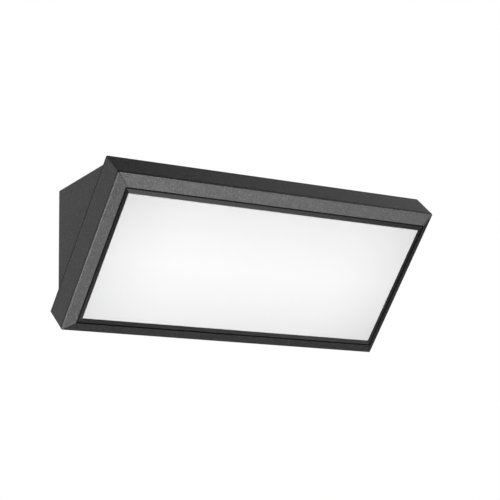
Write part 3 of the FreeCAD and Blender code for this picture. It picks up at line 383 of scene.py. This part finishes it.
black_rubber = soft_rubber("black_rubber", (0.020, 0.020, 0.021))
z_to_front = Matrix.Rotation(math.radians(90), 4, "X")
sleeve_depth = 0.0075
sleeve_outline = [(3.8, 8.8), (3.8, 0.0), (4.1, 0.0), (6.3, 0.0), (6.7, 0.35), (6.5, 0.9), (6.95, 1.3),
                  (6.5, 1.8), (6.95, 2.2), (6.6, 2.7), (8.6, 2.7), (9.15, 2.95), (9.2, 3.5), (9.2, 4.1),
                  (8.9, 4.45), (7.0, 4.5), (7.0, 7.0), (8.9, 7.0), (9.2, 7.3), (9.2, 8.2), (8.7, 8.7),
                  (7.6, 8.8), (4.3, 8.8)]
sleeve = shaped("cable_sleeve", lambda work: rings(
    work, [circle(radius, height) for radius, height in in_mm(sleeve_outline)], 64, closed=True))
moved(sleeve, Matrix.Translation((0, -sleeve_depth, 0)) @ z_to_front)
sleeve.data.materials.append(black_rubber)
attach(sleeve, "lamp")
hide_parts("cable_grommet")


# Driver
# The supply for the lamps: a moulded case and cover round a small circuit board with its
# transformer, two capacitors and a choke, held by its two ears.
def moulded(name, tone, grain_size, roughness, depth=0.00003):
    """Moulded plastic: an eroded tool's fine texture, and a little unevenness in its colour."""
    plastic = Finish(name)
    skin = plastic.grain(grain_size, 3.0)
    cloud = plastic.grain(0.02, 2.0)
    colour = plastic.mix(cloud, [0.92 * part for part in tone], tone)
    return plastic.done(colour, roughness + skin * 0.12, 0.0, plastic.relief(skin, depth, 0.5))


case_plastic = moulded("driver_case_plastic", (0.52, 0.53, 0.54), 0.0005, 0.42)
dress("driver_case", case_plastic)
dress("driver_cover", case_plastic)


def circuit_board(name, mask, copper, pitch_x, pitch_z, gap, turn=0.0):
    """Solder mask over copper areas, which show lighter, with the fine gaps between them."""
    board = Finish(name)
    areas = board.node("TexBrick", {"offset": 0.0, "squash": 1.0}, {
        "Vector": board.place(turn - math.pi / 2), "Scale": 1.0, "Color1": (1, 1, 1, 1),
        "Color2": (0.8, 0.8, 0.8, 1), "Mortar": (0, 0, 0, 1), "Mortar Size": gap, "Mortar Smooth": 0.2,
        "Brick Width": pitch_x, "Row Height": pitch_z}, out="Color")
    weave = board.grain(0.0007, 2.0)
    colour = board.mix(areas, mask, copper)
    return board.done(colour, 0.24 + weave * 0.12, 0.0, board.relief(areas, 0.00004, 0.6),
                      Coat_Weight=0.3)


dress("driver_board", circuit_board("green_solder_mask", (0.006, 0.045, 0.020), (0.012, 0.095, 0.040),
                                    0.0075, 0.0042, 0.0006))


def block_rings(work, levels, closed=False):
    """A block with chamfered upright edges, skinned from levels of half length, half width, chamfer
    and height."""
    rows = []
    for half_x, half_y, chamfer, height in levels:
        corners = ((half_x, half_y - chamfer), (half_x - chamfer, half_y), (chamfer - half_x, half_y),
                   (-half_x, half_y - chamfer), (-half_x, chamfer - half_y), (chamfer - half_x, -half_y),
                   (half_x - chamfer, -half_y), (half_x, chamfer - half_y))
        rows.append([work.verts.new((x, y, height)) for x, y in corners])
    if closed:
        rows.append(rows[0])
    for low, high in zip(rows, rows[1:]):
        for step in range(8):
            after = (step + 1) % 8
            work.faces.new((low[step], low[after], high[after], high[step]))
    if not closed:
        work.faces.new(rows[0][::-1])
        work.faces.new(rows[-1])


def lathe(work, outline, place=Matrix(), around=32):
    """A turned shape from radii and heights in millimetres, closed at both ends, at its place."""
    before = len(work.verts)
    rings(work, [circle(radius, height) for radius, height in in_mm(outline)], around)
    work.verts.ensure_lookup_table()
    bmesh.ops.transform(work, matrix=place, verts=work.verts[before:])


def block(work, levels, place=Matrix(), closed=False):
    """A chamfered block from levels in millimetres, at its place."""
    before = len(work.verts)
    block_rings(work, in_mm(levels), closed)
    work.verts.ensure_lookup_table()
    bmesh.ops.transform(work, matrix=place, verts=work.verts[before:])


DRIVER_UP = 0.013
BOARD_FACE = -0.0206
TRANSFORMER_X = -0.072
CHOKE_X = -0.0576
CAN_FEET = ((-1, -0.092), (1, -0.052))
CAN_RADIUS = 0.005
CORE_HALF = 0.006
transformer_place = Matrix.Translation((TRANSFORMER_X, BOARD_FACE - CORE_HALF, DRIVER_UP))
choke_place = Matrix.Translation((CHOKE_X, BOARD_FACE, DRIVER_UP)) @ z_to_front


def ferrite_cores(work):
    """The transformer's two E halves, glued round its bobbin, and the choke's drum."""
    outside = [(9.9, 5.9, 0.3, -4.5), (10.0, 6.0, 0.5, -4.3), (10.0, 6.0, 0.5, 4.3), (9.9, 5.9, 0.3, 4.5)]
    window = [(6.9, 3.9, 0.2, 4.5), (6.8, 3.8, 0.2, 4.3), (6.8, 3.8, 0.2, -4.3), (6.9, 3.9, 0.2, -4.5)]
    drum = [(3.8, 0.0), (4.0, 0.2), (4.0, 1.1), (3.8, 1.3), (2.4, 1.4), (2.4, 6.6),
            (3.8, 6.7), (4.0, 6.9), (4.0, 7.8), (3.8, 8.0), (1.2, 8.0), (1.1, 7.8)]
    block(work, outside + window, transformer_place, closed=True)
    lathe(work, drum, choke_place)


def transformer_bobbin(work):
    """Two moulded flanges with a row of pins each."""
    flange = [(7.6, 5.7, 0.8, -0.8), (7.8, 5.9, 1.0, -0.6), (7.8, 5.9, 1.0, 0.6), (7.6, 5.7, 0.8, 0.8)]
    pin = [(0.25, -2.1), (0.35, -1.9), (0.35, 1.5), (0.2, 1.7)]
    flange_off, pin_off, pin_pitch, pin_height = 0.0072, 0.0076, 0.0032, 0.0022
    for end in (-1, 1):
        block(work, flange, transformer_place @ Matrix.Translation((0, 0, end * flange_off)))
        for step in (-2, -1, 0, 1, 2):
            spot = (TRANSFORMER_X + step * pin_pitch, BOARD_FACE - pin_height, DRIVER_UP + end * pin_off)
            lathe(work, pin, Matrix.Translation(spot) @ z_to_front, 8)


def tape_wound(work):
    """The winding under its tape: a soft block whose turns of tape end a little apart."""
    block(work, [(6.2, 3.4, 1.6, -6.4), (6.6, 3.7, 1.6, -6.2), (6.6, 3.7, 1.6, -0.6),
                 (6.7, 3.75, 1.6, -0.5), (6.7, 3.75, 1.6, 6.2), (6.2, 3.4, 1.6, 6.4)], transformer_place)


def choke_winding(work):
    """One layer of enamelled wire between the drum's flanges."""
    wire, turns = 0.35, 14
    wound = [(2.5, 1.5)]
    for turn in range(turns):
        low = 1.55 + wire * turn
        wound += [(3.30, low), (3.45, low + 0.3 * wire), (3.45, low + 0.7 * wire)]
    lathe(work, wound + [(3.30, 6.45), (2.5, 6.5)], choke_place, 24)


def capacitor_cans(work):
    """Two electrolytic capacitors on their sides, in shrunk sleeves, crimped over their rubber ends."""
    can = [(1.0, 0.5), (3.6, 0.5), (3.9, 0.1), (4.7, 0.0), (5.0, 0.35), (5.0, 1.7), (4.55, 2.2),
           (4.55, 2.5), (5.0, 3.0), (5.0, 19.3), (4.85, 19.8), (4.5, 20.0), (4.1, 19.85), (3.9, 19.7),
           (1.0, 19.75)]
    for end, foot in CAN_FEET:
        lathe(work, can, Matrix.Translation((foot, BOARD_FACE - CAN_RADIUS, DRIVER_UP)) @
              Matrix.Rotation(math.radians(90 * end), 4, "Y"))


def ferrite():
    """Pressed and fired ferrite, grey and finely pored, paler on its edges."""
    core = Finish("grey_ferrite")
    pores = core.grain(0.0003, 3.0)
    cloud = core.grain(0.004)
    ground = core.mix(cloud, (0.030, 0.030, 0.032), (0.055, 0.055, 0.058))
    return core.done(core.mix(core.edges(0.0003), ground, (0.12, 0.12, 0.12)), 0.40 + pores * 0.3, 0.0,
                     core.relief(pores, 0.00003, 0.7))


def wound_tape():
    """Yellow polyester tape: the edges of its turns show as fine lines."""
    tape = Finish("yellow_polyester_tape")
    turns = tape.node("TexWave", {"wave_type": "BANDS", "bands_direction": "Z"},
                      {"Vector": tape.place(), "Scale": 85.0, "Distortion": 0.6, "Detail": 1.0})
    skin = tape.grain(0.0008)
    return tape.done(tape.mix(turns, (0.62, 0.42, 0.05), (0.80, 0.60, 0.10)), 0.20 + skin * 0.15, 0.0,
                     tape.relief(turns + skin * 0.4, 0.00004, 0.5))


def enamelled_wire():
    """Copper under a clear red-brown enamel."""
    wire = Finish("enamelled_copper")
    cloud = wire.grain(0.0012)
    return wire.done(wire.mix(cloud, (0.42, 0.14, 0.05), (0.66, 0.27, 0.11)), 0.24 + cloud * 0.12, 1.0,
                     wire.relief(cloud, 0.00001, 0.4), Coat_Weight=0.5)


def shrunk_sleeve():
    """A black sleeve with the paler band that marks the can's negative side."""
    sleeve = Finish("black_shrunk_sleeve")
    spot = sleeve.node("SeparateXYZ", {}, {0: sleeve.place()}, out="Z")
    band = sleeve.node("Math", {"operation": "COMPARE"}, {0: spot, 1: DRIVER_UP + 0.0035, 2: 0.0011})
    skin = sleeve.grain(0.0012)
    return sleeve.done(sleeve.mix(band, (0.014, 0.014, 0.018), (0.34, 0.34, 0.35)), 0.24 + skin * 0.14, 0.0,
                       sleeve.relief(skin, 0.00002, 0.5))


bobbin_plastic = moulded("black_bobbin_plastic", (0.020, 0.020, 0.022), 0.0005, 0.4)
for name, faces_of, finish in (
        ("ferrite_cores", ferrite_cores, ferrite()),
        ("transformer_bobbin", transformer_bobbin, bobbin_plastic),
        ("transformer_tape", tape_wound, wound_tape()),
        ("choke_winding", choke_winding, enamelled_wire()),
        ("capacitor_cans", capacitor_cans, shrunk_sleeve())):
    piece = shaped(name, faces_of)
    piece.data.materials.append(finish)
    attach(piece, "lamp")
    if name == "ferrite_cores":
        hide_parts("driver_parts")


# Terminal strip
# Three brass tubes in a moulded milky strip, with two slotted grub screws to each, for live,
# neutral and earth. It is screwed to a boss by the ear at its right end.
dress("terminal_block", moulded("milky_terminal_plastic", (0.74, 0.73, 0.67), 0.0009, 0.34))


def drawn_metal(name, low, high, roughness):
    """Metal with the long fine streaks of the die that it was drawn through."""
    metal = Finish(name)
    streaks = metal.grain(0.0006, 3.0, metal.place(stretch=(1, 1, 14)))
    cloud = metal.grain(0.004)
    return metal.done(metal.mix(cloud * 0.6 + streaks * 0.4, low, high), roughness + streaks * 0.15, 1.0,
                      metal.relief(streaks, 0.00002, 0.5))


brass = drawn_metal("drawn_brass", (0.52, 0.36, 0.13), (0.74, 0.55, 0.24), 0.22)
dress("terminal_tubes", brass)


# Cable clamp
# A saddle moulded in black plastic that presses the supply cable down beside its sleeve. Its two
# screws go into bosses on the housing's back wall.
dress("cable_clamp", moulded("black_clamp_plastic", (0.022, 0.022, 0.023), 0.0007, 0.45))


# Inner screws
# M3 socket screws of stainless steel, one for each ear inside the housing, and the slotted grub
# screws of the terminals. Like screws are the same, each left at its own angle by the screwdriver.
class Layout:
    """A Geometry Nodes tree that lays out equal pieces."""

    def __init__(self, name, inputs):
        self.tree = bpy.data.node_groups.new(name, "GeometryNodeTree")
        sockets = self.tree.interface
        sockets.new_socket("Geometry", in_out="INPUT", socket_type="NodeSocketGeometry")
        sockets.new_socket("Geometry", in_out="OUTPUT", socket_type="NodeSocketGeometry")
        self.keys = {}
        for word, kind in inputs.items():
            socket = sockets.new_socket(word, in_out="INPUT", socket_type="NodeSocket" + kind)
            self.keys[word] = socket.identifier
        self.given = self.tree.nodes.new("NodeGroupInput").outputs
        self.result = self.tree.nodes.new("NodeGroupOutput").inputs[0]

    def node(self, kind, settings=None, sockets=None, out=0):
        """Add a node: its settings first, then the values or links of its sockets."""
        made = self.tree.nodes.new(kind)
        for name, setting in (settings or {}).items():
            setattr(made, name, setting)
        for name, given in (sockets or {}).items():
            if isinstance(given, bpy.types.NodeSocket):
                self.tree.links.new(given, made.inputs[name])
            else:
                made.inputs[name].default_value = given
        return made.outputs[out]

    def ends_in(self, instances):
        """Make the instances real, give them their finish, and end the tree."""
        real = self.node("GeometryNodeRealizeInstances", {}, {"Geometry": instances})
        finished = self.node("GeometryNodeSetMaterial", {},
                             {"Geometry": real, "Material": self.given["Finish"]})
        self.tree.links.new(finished, self.result)

    def lay(self, name, base, values):
        """Run the tree on an object, and put a plain mesh in that object's place."""
        modifier = base.modifiers.new("layout", "NODES")
        modifier.node_group = self.tree
        for word, chosen in values.items():
            modifier[self.keys[word]] = chosen
        base.update_tag()
        seen = base.evaluated_get(bpy.context.evaluated_depsgraph_get())
        mesh = bpy.data.meshes.new_from_object(seen)
        bpy.data.objects.remove(base)
        piece = bpy.data.objects.new(name, mesh)
        bpy.context.scene.collection.objects.link(piece)
        return piece


def screws_on_spots():
    """The tree for screws: one on each vertex of a mesh, turned together, each spun by its own chance."""
    layout = Layout("screws_on_spots", {"Screw": "Object", "Turn": "Vector", "Spin seed": "Int",
                                        "Finish": "Material"})
    screw = layout.node("GeometryNodeObjectInfo", {}, {"Object": layout.given["Screw"]}, "Geometry")
    turn = layout.node("FunctionNodeEulerToRotation", {}, {"Euler": layout.given["Turn"]})
    chance = layout.node("FunctionNodeRandomValue", {"data_type": "FLOAT"},
                         {2: 0.0, 3: 2 * math.pi, "Seed": layout.given["Spin seed"]}, 1)
    spin = layout.node("FunctionNodeAxisAngleToRotation", {}, {"Axis": (0, 0, 1), "Angle": chance})
    both = layout.node("FunctionNodeRotateRotation", {"rotation_space": "LOCAL"},
                       {"Rotation": turn, "Rotate By": spin})
    layout.ends_in(layout.node("GeometryNodeInstanceOnPoints", {},
                               {"Points": layout.given["Geometry"], "Instance": screw, "Rotation": both}))
    return layout


def spots_mesh(name, spots):
    """An object of loose vertices, one on each spot."""
    mesh = bpy.data.meshes.new(name)
    mesh.from_pydata([tuple(spot) for spot in spots], [], [])
    base = bpy.data.objects.new(name, mesh)
    bpy.context.scene.collection.objects.link(base)
    return base


screw_layout = screws_on_spots()
FACING_OUT = (math.radians(90), 0, 0)
M3_SCREW = {"radius": 0.0015, "pitch": 0.0005, "head": 0.0025, "head_height": 0.002,
            "key": 0.00115, "key_depth": 0.0012}


def small_screw(length):
    """An M3 socket screw."""
    return socket_screw("small_screw_pattern", length, **M3_SCREW)


def lay_screws(name, node, spots, pattern, turn, seed, material):
    """Fill the spots with screws like the pattern, in place of the construction's plain ones."""
    laid = screw_layout.lay(name, spots_mesh(name + "_spots", spots),
                            {"Screw": pattern, "Turn": turn, "Spin seed": seed, "Finish": material})
    bpy.data.objects.remove(pattern)
    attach(laid, "lamp")
    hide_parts(node)


ear_seat = -0.0205
driver_ears = ((-0.121, DRIVER_UP), (-0.023, DRIVER_UP))
terminal_ear = (0.068, DRIVER_UP)
clamp_ears = ((0.019, -0.012), (0.019, 0.012))
lay_screws("ear_screws", "inner_screws",
           [(x, ear_seat, z) for x, z in (*driver_ears, terminal_ear, *clamp_ears)],
           small_screw(length=0.005), FACING_OUT, seed=3, material=stainless)


def slit(half_long, half_wide, height):
    """A screwdriver's slot, ending just short of the rim."""
    def outline(angle):
        across = abs(math.cos(angle)) + 1e-9
        up = abs(math.sin(angle)) + 1e-9
        return min(half_long / across, half_wide / up), height
    return outline


def grub_screw():
    """A slotted grub screw, M2.8, with its slotted end at nought."""
    radius, pitch, depth, length, point = 0.0014, 0.00045, 0.00022, 0.00515, 0.0005
    slot_half_long, slot_half_wide, slot_depth = 0.0010, 0.00022, 0.0007
    levels = 44
    climb = length - 2 * point
    shape = [circle(0.0009, -length), circle(0.0011, 0.0003 - length)]
    shape += [thread(radius, depth, pitch, point - length + climb * level / levels)
              for level in range(levels + 1)]
    shape += [circle(0.00118, -0.0002), circle(0.00108, 0), slit(slot_half_long, slot_half_wide, 0),
              slit(slot_half_long, slot_half_wide, -slot_depth)]
    return shaped("grub_screw_pattern", lambda work: rings(work, shape))


strip_face = -0.02975
tube_places = (0.039, 0.049, 0.059)
screw_rows = (0.0085, 0.0175)
lay_screws("terminal_grub_screws", "terminal_screws",
           [(x, strip_face, z) for x in tube_places for z in screw_rows],
           grub_screw(), FACING_OUT, seed=7, material=zinc_plate("zinc_plated_grub", 0.0012))


# Earth point
# The earth lead ends in a ring terminal of tinned copper, pressed onto it. A brass M4 screw holds
# the ring down on a bare boss of the casting.
dress("earth_lug", drawn_metal("tinned_copper", (0.58, 0.57, 0.55), (0.78, 0.77, 0.75), 0.28))
earth_seat = (0.101, -0.0193, DRIVER_UP)
lay_screws("earth_clamp_screw", "earth_screw", [earth_seat],
           socket_screw("earth_screw_pattern", length=0.005, **M4_SCREW), FACING_OUT,
           seed=5, material=brass)


# Leads
# Limp single leads with silicone insulation, tinned strands inside: brown, blue, and green with
# yellow for the supply and earth, red and black to the lamp board.
def silicone(name, tone, stripe=None):
    """Satin silicone in one colour, or with a stripe of another wound round it."""
    sleeve = Finish(name)
    skin = sleeve.grain(0.0008, 2.0)
    cloud = sleeve.grain(0.01, 2.0)
    colour = sleeve.mix(cloud, [0.85 * part for part in tone], tone)
    if stripe:
        bands = sleeve.node("TexWave", {"wave_type": "BANDS", "bands_direction": "DIAGONAL"},
                            {"Vector": sleeve.place(), "Scale": 55.0})
        striped = sleeve.node("ValToRGB", {"stops": [(0.48, 0.0), (0.52, 1.0)]}, {"Fac": bands}, "Color")
        colour = sleeve.mix(striped, colour, stripe)
    return sleeve.done(colour, 0.48 + skin * 0.14, 0.0, sleeve.relief(skin, 0.00002, 0.4))


dress("live_lead", silicone("brown_silicone", (0.085, 0.030, 0.012)))
dress("neutral_lead", silicone("blue_silicone", (0.015, 0.065, 0.32)))
dress("earth_lead", silicone("green_yellow_silicone", (0.02, 0.20, 0.035), (0.70, 0.56, 0.03)))
dress("lamp_plus_lead", silicone("red_silicone", (0.36, 0.012, 0.012)))
dress("lamp_minus_lead", silicone("black_silicone", (0.014, 0.014, 0.015)))
dress("lead_grommet", black_rubber)


# Lamp plate, pad and board
# A rolled aluminium sheet carries the lamp board over a grey heat pad. The board is coated white, so
# that light which comes back from the panel is thrown out again.
FRONT_TILT = 41
tilt = math.radians(FRONT_TILT)
LEAN = math.radians(90 + FRONT_TILT)
FACE_OUT, FACE_DROP = 0.0615075, 0.017
BOARD_DEPTH, PLATE_DEPTH = 0.0125, 0.016


def on_front(x, y, z):
    """A spot of the tilted front, in the world."""
    return Vector((x, -(FACE_OUT + y * math.sin(tilt) + z * math.cos(tilt)),
                   y * math.cos(tilt) - z * math.sin(tilt) - FACE_DROP))


def rolled_aluminium():
    """Bare sheet with the streaks of the mill's rollers."""
    sheet = Finish("rolled_aluminium")
    streaks = sheet.grain(0.0005, 3.0, sheet.place(stretch=(40, 1, 1)))
    cloud = sheet.grain(0.02, 2.0)
    return sheet.done(sheet.mix(streaks * 0.6 + cloud * 0.4, (0.62, 0.63, 0.64), (0.83, 0.84, 0.85)),
                      0.26 + streaks * 0.16, 1.0, sheet.relief(streaks, 0.00002, 0.4))


dress("lamp_plate", rolled_aluminium())
dress("thermal_pad", soft_rubber("grey_heat_pad", (0.13, 0.135, 0.14)))
dress("lamp_board", circuit_board("white_solder_mask", (0.66, 0.67, 0.66), (0.80, 0.81, 0.80),
                                  0.018, 0.020, 0.0004, LEAN))
dress("lamp_connector", moulded("ivory_connector_plastic", (0.72, 0.66, 0.50), 0.0006, 0.36))


# Lamps
# Forty-eight small white lamps in four rows of twelve: a moulded cup with tinned ends, filled with a
# pale yellow phosphor that sits a little proud.
def lamps_in_rows():
    """The tree for the lamps: a grid of spots, turned and set on the board."""
    layout = Layout("lamps_in_rows", {"Lamp": "Object", "Columns": "Int", "Rows": "Int", "Length": "Float",
                                      "Height": "Float", "Lean": "Vector", "Middle": "Vector",
                                      "Finish": "Material"})
    lamp = layout.node("GeometryNodeObjectInfo", {}, {"Object": layout.given["Lamp"]}, "Geometry")
    grid = layout.node("GeometryNodeMeshGrid", {}, {
        "Size X": layout.given["Length"], "Size Y": layout.given["Height"],
        "Vertices X": layout.given["Columns"], "Vertices Y": layout.given["Rows"]})
    laid = layout.node("GeometryNodeInstanceOnPoints", {}, {"Points": grid, "Instance": lamp})
    placed = layout.node("GeometryNodeTransform", {}, {
        "Geometry": laid, "Translation": layout.given["Middle"],
        "Rotation": layout.node("FunctionNodeEulerToRotation", {}, {"Euler": layout.given["Lean"]})})
    layout.ends_in(placed)
    return layout


lamp_layout = lamps_in_rows()
lamp_cup = shaped("lamp_cup", lambda work: block_rings(work, in_mm([
    (1.75, 1.35, 0.1, 0.0), (1.75, 1.4, 0.15, 0.1), (1.7, 1.38, 0.2, 0.68), (1.6, 1.3, 0.2, 0.75),
    (1.28, 1.02, 0.3, 0.75), (1.2, 0.95, 0.3, 0.6)])))
lamp_fill = shaped("lamp_fill", lambda work: block_rings(work, in_mm([
    (1.27, 1.01, 0.3, 0.62), (1.27, 1.01, 0.3, 0.75), (1.0, 0.8, 0.3, 0.79), (0.5, 0.4, 0.2, 0.8)])))
cup_finish = moulded("lamp_cup_plastic", (0.80, 0.80, 0.77), 0.0003, 0.30)
fill_finish = moulded("lamp_phosphor", (0.82, 0.62, 0.09), 0.0002, 0.42, 0.00001)
for pattern, name, finish in (
        (lamp_cup, "lamp_cups", cup_finish),
        (lamp_fill, "lamp_phosphors", fill_finish)):
    laid = lamp_layout.lay(name, spots_mesh(name + "_base", [(0, 0, 0)]), {
        "Lamp": pattern, "Columns": 12, "Rows": 4, "Length": 0.198, "Height": 0.060,
        "Lean": (LEAN, 0.0, 0.0), "Middle": tuple(on_front(0, 0, -BOARD_DEPTH)), "Finish": finish})
    bpy.data.objects.remove(pattern)
    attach(laid, "lamp")
    if name == "lamp_cups":
        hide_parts("lamp_chips")


# Board and plate screws
# The board's six M3 screws go down into the plate, and four longer ones hold the plate to the
# frame's bosses from behind.
FROM_FRONT = (LEAN, 0, 0)
FROM_BEHIND = (LEAN + math.pi, 0, 0)
board_columns, board_row = (-0.105, 0, 0.105), 0.035
plate_columns, boss_row = (-0.055, 0.055), 0.0594
lay_screws("board_screw_set", "board_screws",
           [on_front(x, y, -BOARD_DEPTH) for y in (-board_row, board_row) for x in board_columns],
           small_screw(length=0.003), FROM_FRONT, seed=11, material=stainless)
lay_screws("plate_screw_set", "plate_screws",
           [on_front(x, y, -PLATE_DEPTH) for y in (-boss_row, boss_row) for x in plate_columns],
           small_screw(length=0.006), FROM_BEHIND, seed=23, material=stainless)


# Reflector
# A white funnel, vacuum formed, that sits between the lamp board and the panel and throws the light
# forward. It is held by its rim, behind the frame's border.
dress("reflector", moulded("white_reflector", (0.80, 0.80, 0.79), 0.0012, 0.30))


# Gasket and seal
# Two rings cut from black rubber sheet keep the rain out: one lies behind the opal panel, the other
# round the housing's flange, where the six frame screws press it flat.
dress("diffuser_seal", black_rubber)
dress("housing_gasket", black_rubber)


# Opal panel
# An opal moulding that fills the frame's window and stands a little proud of the border. Its skin is
# satin. Its white is darkened towards its rim as painted shade.
def in_front(finish):
    """How far a spot is from the front's middle, across and along it, and how far out of it."""
    spot = finish.node("Mapping", {"vector_type": "TEXTURE"}, {
        "Vector": finish.place(), "Location": tuple(on_front(0, 0, 0)),
        "Rotation": (LEAN - math.pi / 2, 0, 0)})
    right, back, up = [finish.node("SeparateXYZ", {}, {0: spot}, out=axis) for axis in ("X", "Y", "Z")]
    across, along = [finish.node("Math", {"operation": "ABSOLUTE"}, {0: part}) for part in (right, up)]
    return across, along, back * -1.0


PANEL_HALF = (0.1292, 0.0521)


def opal():
    """Milky plastic, its colour darkened towards its rim as painted shade."""
    panel = Finish("opal_moulding")
    cloud = panel.grain(0.05, 1.0)
    skin = panel.grain(0.0009, 2.0)
    across, along, _ = in_front(panel)
    # Painted shade: the white is darkened towards the rim, over this reach and by this much at most.
    reach, rim_shade_strength = 0.070, 0.13
    unshaded_share = []
    for off, half in zip((across, along), PANEL_HALF):
        near_rim = panel.node("Math", {"operation": "SUBTRACT", "use_clamp": True},
                              {0: 1.0, 1: (half - off) / reach})
        unshaded_share.append(1 - near_rim * near_rim * rim_shade_strength)
    milk = panel.mix(cloud, (0.930, 0.931, 0.933), (0.945, 0.946, 0.948))
    colour = panel.mix(unshaded_share[0] * unshaded_share[1], (0.0, 0.0, 0.0), milk)
    return panel.done(colour, 0.34 + skin * 0.06, 0.0, panel.relief(skin, 0.00001, 0.3))


dress("diffuser", opal())


# Frame
# The bevelled frame is die-cast in aluminium with its dark border in one piece, and coated with the
# housing's texture paint. Shade is painted as matt black lines into the groove round the border, along
# the mitres and along the casting's parting line. Six screws hold it from behind, through the housing's
# flange.
FRAME_HALF = (0.140, 0.0655)
BORDER_HALF = (0.1328, 0.0565)
FLANGE_DEPTH = 0.022
frame_columns = (-0.110, 0, 0.110)


def frame_marks(paint):
    """The border and how it falls towards the panel, the rim that the coat leaves glossy, and the painted
    shade.
    """
    slope = 0.25
    groove_width, rim_width, mitre_width, skin = 0.0008, 0.0006, 0.0004, 0.0007
    parting_back, parting_front = -0.0022, -0.0011
    across, along, forward = in_front(paint)

    def above(spot, bound):
        return paint.node("Math", {"operation": "GREATER_THAN"}, {0: spot, 1: bound})

    def least(half):
        return paint.node("Math", {"operation": "MINIMUM"}, {0: half[0] - across, 1: half[1] - along})

    inset = least(BORDER_HALF)
    border = above(inset, 0.0) * above(forward, 0.0)
    groove = border * (1 - above(inset, groove_width))
    outside = 1 - above(least(FRAME_HALF), skin)
    rim = above(forward, -rim_width) * outside
    parting = above(forward, parting_back) * (1 - above(forward, parting_front)) * outside
    off_mitre = (FRAME_HALF[0] - across) - (FRAME_HALF[1] - along)
    mitre = 1 - above(paint.node("Math", {"operation": "ABSOLUTE"}, {0: off_mitre}), mitre_width)
    # Painted shade: dark lines in the groove round the border, along the parting line and along the mitres.
    painted_shade = groove * 0.9 + parting * 0.5 + mitre * (1 - border) * 0.5
    return border, border * inset * -slope, rim, painted_shade


dress("front_frame", texture_paint("frame_coat_with_smooth_border", frame_marks))
lay_screws("frame_screw_set", "frame_screws",
           [on_front(x, y, -FLANGE_DEPTH) for y in (-boss_row, boss_row) for x in frame_columns],
           small_screw(length=0.008), FROM_BEHIND, seed=31, material=stainless)


# Studio
# A pale matt floor well below the light, and large soft lamps: two in front, one low on the left, a
# narrow one for the left edge, and weaker ones low right, at the back, high up and on the right. All
# round it is a dim white, which the camera sees as full white.
def pale_floor():
    """Matt paint, very slightly cloudy."""
    floor = Finish("pale_floor")
    cloud = floor.grain(0.25, 2.0)
    return floor.done(floor.mix(cloud, (0.70, 0.70, 0.70), (0.75, 0.75, 0.75)), 0.8)


FLOOR = -2.2
FLOOR_RADIUS = 1.2
FLOOR_DEPTH = 0.02
MIDDLE_RADIUS = 0.01
floor = shaped("floor", lambda work: rings(work, [
    circle(MIDDLE_RADIUS, FLOOR), circle(FLOOR_RADIUS, FLOOR),
    circle(FLOOR_RADIUS, FLOOR - FLOOR_DEPTH), circle(MIDDLE_RADIUS, FLOOR - FLOOR_DEPTH)], 64))
floor.data.materials.append(pale_floor())

world = bpy.data.worlds.new("studio")
bpy.context.scene.world = world
world.use_nodes = True
air = world.node_tree
air.nodes.clear()


def white_air(strength):
    """White light from all round."""
    background = air.nodes.new("ShaderNodeBackground")
    background.inputs["Strength"].default_value = strength
    background.inputs["Color"].default_value = (1, 1, 1, 1)
    return background


seen_white = white_air(1.0)
soft_fill = white_air(0.05)
which_ray = air.nodes.new("ShaderNodeLightPath")
either = air.nodes.new("ShaderNodeMixShader")
air.links.new(which_ray.outputs["Is Camera Ray"], either.inputs[0])
air.links.new(soft_fill.outputs[0], either.inputs[1])
air.links.new(seen_white.outputs[0], either.inputs[2])
air.links.new(either.outputs[0], air.nodes.new("ShaderNodeOutputWorld").inputs[0])


def soft_lamp(name, direction, distance, size, radiance, middle=(0, -0.05, 0)):
    """A square soft light that looks at the fitting, or at another middle, from a direction."""
    light = bpy.data.lights.new(name, "AREA")
    light.size = size
    light.energy = radiance * math.pi * size * size
    lamp = bpy.data.objects.new(name, light)
    away = Vector(direction).normalized()
    lamp.matrix_world = Matrix.Translation(away * distance + Vector(middle)) @ (
        away.to_track_quat("Z", "Y").to_matrix().to_4x4())
    lamp.visible_camera = False
    bpy.context.scene.collection.objects.link(lamp)


for name, direction, distance, size, radiance in (
        ("front_lamp", (0.0, -1.0, -0.10), 1.3, 1.2, 1.56),
        ("front_right_lamp", (0.46, -0.84, -0.27), 1.3, 1.0, 2.60),
        ("low_left_lamp", (-0.49, -0.39, -0.76), 1.0, 0.6, 3.10),
        ("left_edge_lamp", (-0.91, 0.14, -0.39), 1.0, 0.4, 5.5),
        ("low_right_lamp", (0.47, 0.00, -0.88), 1.1, 0.5, 0.75),
        ("back_left_lamp", (-0.54, 0.82, 0.19), 1.2, 0.9, 0.50),
        ("right_lamp", (0.87, 0.05, 0.48), 1.2, 0.7, 0.70),
        ("back_lamp", (0.30, 0.95, 0.02), 1.3, 0.9, 1.30),
        ("high_left_lamp", (-0.35, 0.45, 0.82), 1.2, 0.9, 0.80),
        ("top_lamp", (0.60, 0.26, 0.76), 0.85, 0.5, 0.28)):
    soft_lamp(name, direction, distance, size, radiance)
soft_lamp("floor_lamp", (0, 0, 1), 1.2, 3.0, 1.10, (0, 0, FLOOR))
bpy.context.scene.view_settings.view_transform = "Standard"
